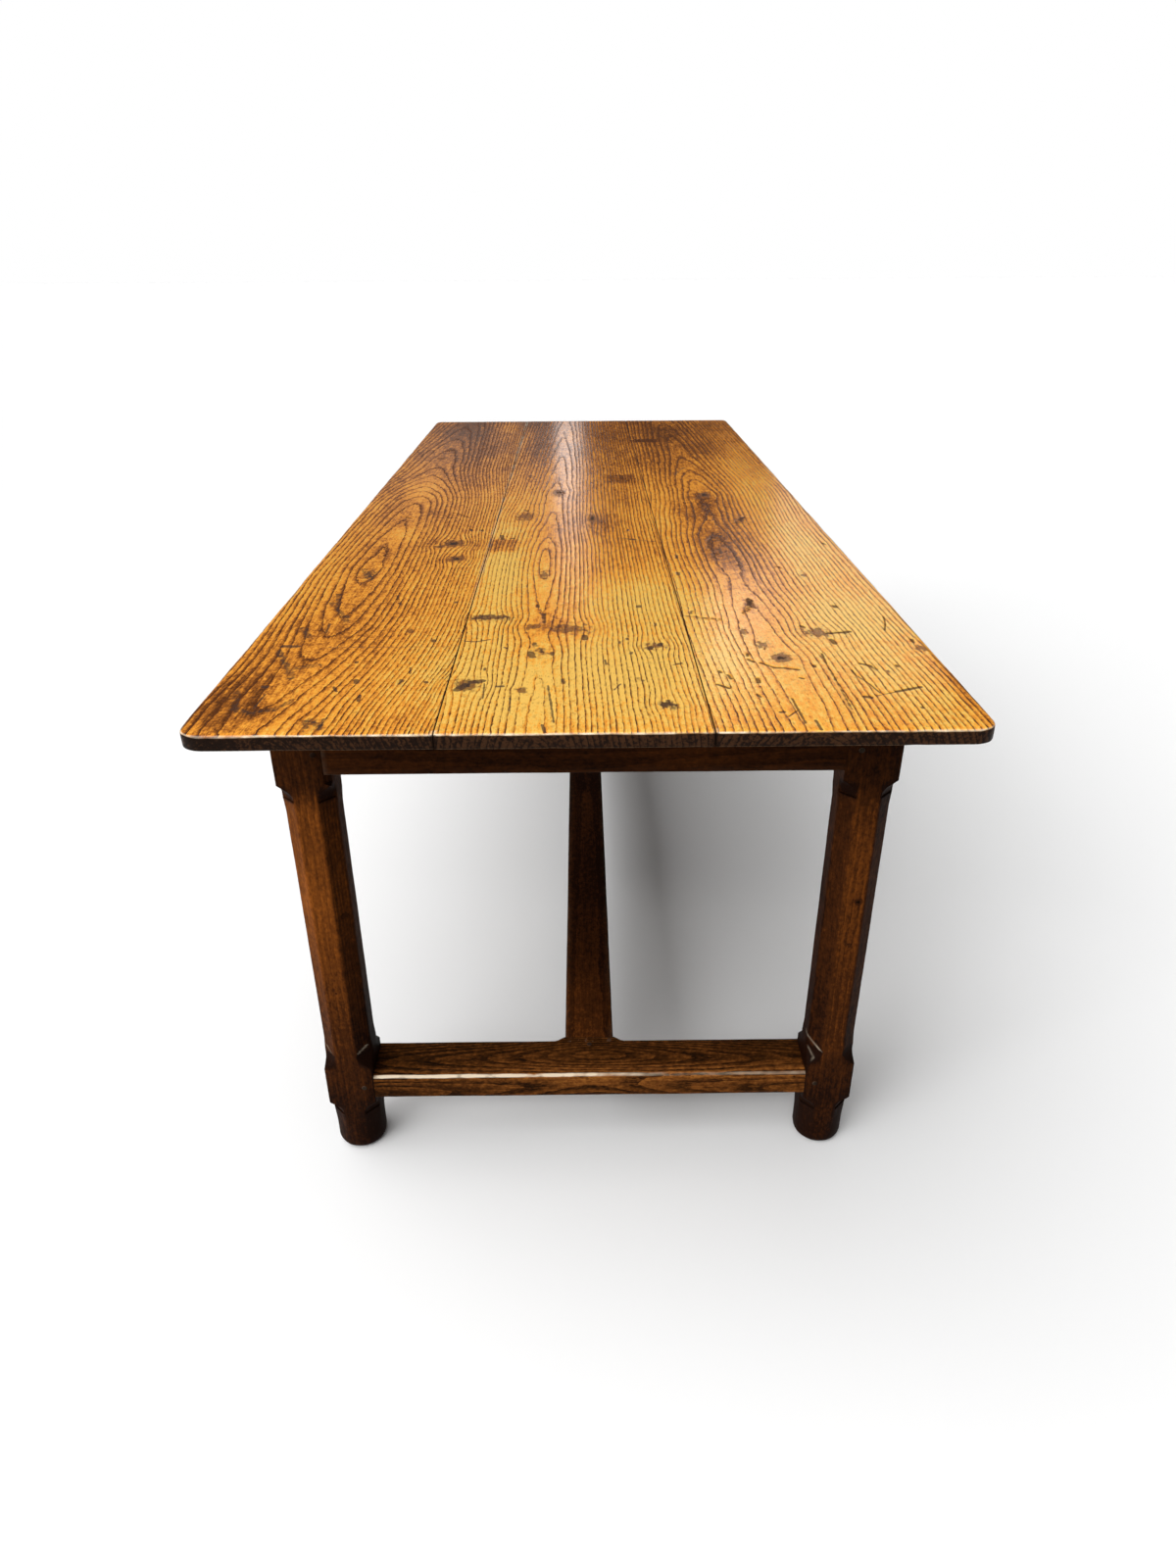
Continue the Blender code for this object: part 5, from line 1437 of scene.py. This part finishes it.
def tread_wear_and_highlight(outer):
    """The bare line on the arris, painted bright as a highlight, strongest left of the middle."""
    def wear(mesh, spots):
        near = upper_arris(mesh) * (np.abs(spots[:, 1] - outer) < 12 * MM)
        broken = np.array([1 + 0.5 * rough(spot, 30, 4) + 0.5 * rough(spot, 120, 9) for spot in spots])
        return near * broken * np.interp(spots[:, 0], *TREAD_BARE_AND_HIGHLIGHT)
    return wear


print("Feet have worn the arris over", TREAD_REACH / MM, "mm")


# %% [markdown]
# ## Stretchers
# The planks of the end stretchers were sawn through the heart, so the rings on top close in
# narrow ovals beside the joint. That takes a heart line with stops of its own. The long
# stretcher is a plain bar, and its middle, in the shade under the top, is painted the darkest
# wood of the table.

# %% Make the stretchers
FOOT_ARRIS, PLAIN_ARRIS, LONG_ARRIS = 4.5 * MM, 2 * MM, 3 * MM
TREAD_STEP, TREAD_RINGS = 5 * MM, 4.0 * MM
# How stained the long stretcher is, with painted shade, from its middle to its ends
LONG_STAIN_AND_SHADE = ((0.0, 0.5, 0.9), (1.1, 0.8, 0.35))
for number, end in enumerate(("front", "back")):
    arrises = {sides: FOOT_ARRIS if sides == (number, 1) else PLAIN_ARRIS for sides in ALL_FOUR}
    made, low, high = worn_bar("end_stretcher_" + end, ALONG_X, REACHES[ALONG_X], arrises,
                               trodden, TREAD_STEP, trodden_oak)
    outwards, outer = (-1, low.y) if end == "front" else (1, high.y)
    middle = (low.y + high.y) / 2
    heart = ((low.x, middle - 0.012, 0.108), (-0.10, middle - 0.004, 0.120), (-0.02, middle, 0.131),
             (0.03, middle, 0.133), (0.10, middle - 0.006, 0.124), (high.x, middle - 0.014, 0.112))
    dress_grain(made, ALONG_X, heart, TREAD_RINGS, 300 + 20 * number, tread_stain_and_shade(outwards, outer),
                wear_and_highlight=tread_wear_and_highlight(outer))

swollen = -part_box("end_stretcher_front")[1].y
made, low, high = worn_bar("long_stretcher", ALONG_Y, swollen, dict.fromkeys(ALL_FOUR, LONG_ARRIS))
dress_grain(made, ALONG_Y, straight(ALONG_Y, low, high, 0.0, 0.03), LEG_RINGS, 360,
            lambda spots, normals: np.interp(np.abs(spots[:, 1]), *LONG_STAIN_AND_SHADE))
print("Two end stretchers and the long one")


# %% [markdown]
# ## Pegs
# The joints are pinned with pegs split from oak and whittled to eight sides. Their heads stand
# a hair proud of the wood, because the legs have shrunk and the pegs haven't. A round cylinder
# would look turned, so each is a cone of eight sides with a beveled head.

# %% Whittle the pegs
HEAD_ARRIS = 0.9 * MM
TAPER = 0.8
PEG_RINGS = 1.5 * MM


def whittled_peg(node, number):
    low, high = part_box(node)
    size, middle = high - low, (low + high) / 2
    axis = max(range(3), key=lambda direction: size[direction])
    outward = Vector([math.copysign(1, middle[axis]) if direction == axis else 0 for direction in range(3)])
    radius = min(size) / 2
    bm = bmesh.new()
    bmesh.ops.create_cone(bm, cap_ends=True, segments=8, radius1=radius, radius2=radius * TAPER,
                          depth=size[axis])
    bevel(bm, [edge for edge in bm.edges if is_level(edge) and edge.verts[0].co.z < 0], HEAD_ARRIS, 2)
    for vert in bm.verts:
        vert.co.xy *= 1 - 0.05 * (1 + rough(vert.co * 60 + Vector((number, 0, 0)), 1, number))
    turn = outward.to_track_quat("-Z", "Y").to_matrix().to_4x4()
    bmesh.ops.transform(bm, matrix=Matrix.Translation(middle) @ turn, verts=bm.verts)
    made = finish_piece(bm, "whittled_" + node, [stained_oak[axis]], node)
    one, other = [middle[direction] for direction in range(3) if direction != axis]
    dress_grain(made, axis, straight(axis, low, high, one + 0.01, other), PEG_RINGS, 400 + 3 * number, 0.45)


pegs = [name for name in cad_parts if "_peg_" in name]
for number, name in enumerate(pegs):
    whittled_peg(name, number)
print(len(pegs), "pegs")


# %% [markdown]
# ## What is left of the solids
# Tongues, buttons, bearers and screws sit in their joints under the top. They could be worn like
# the rest, but nobody sees them and their solids have the right shape already, so they only
# take a finish. Screws are iron gone dull and brown: nearly black in the slots, with a little
# bare metal on the rubbed rim.

# %% Finish the hidden parts
# Rust grows in blooms a millimetre across
RUST_FINENESS, RUST_DEPTH = 900.0, 0.05 * MM
# Rusty iron: dark grey metal with brown blooms, shiny in one place and matt in the next
rusty_iron, tree, shader = new_material("rusty_iron")
place = add(tree, "TexCoord").outputs["Object"]
rust = add(tree, "TexNoise", {"Vector": place, "Scale": RUST_FINENESS, "Detail": 4.0})
tint = add(tree, "ValToRGB", [rust], stops=((0.35, "#5E5A55"), (0.50, "#3C332C"), (0.65, "#4A2B19")))
dull = add(tree, "MapRange", [rust, 0.35, 0.65, 0.40, 0.85])
pits = add(tree, "Bump", {"Strength": 0.5, "Distance": RUST_DEPTH, "Height": rust})
feed(tree, shader, {"Base Color": tint, "Roughness": dull, "Normal": pits, "Metallic": 0.8})

FINISHES = {"elm_top": waxed_elm, "dark_oak": bearer_oak, "oak_pegs": bearer_oak, "beech": bare_beech,
            "steel": rusty_iron}
for name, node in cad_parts.items():
    for number, old in enumerate(node.data.materials):
        node.data.materials[number] = FINISHES[old.name.split(".")[0]]
print(len(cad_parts), "solids have a finish")


# %% [markdown]
# ## Last update
# At the end the scene is brought up to date.

# %% Finish
bpy.context.view_layer.update()
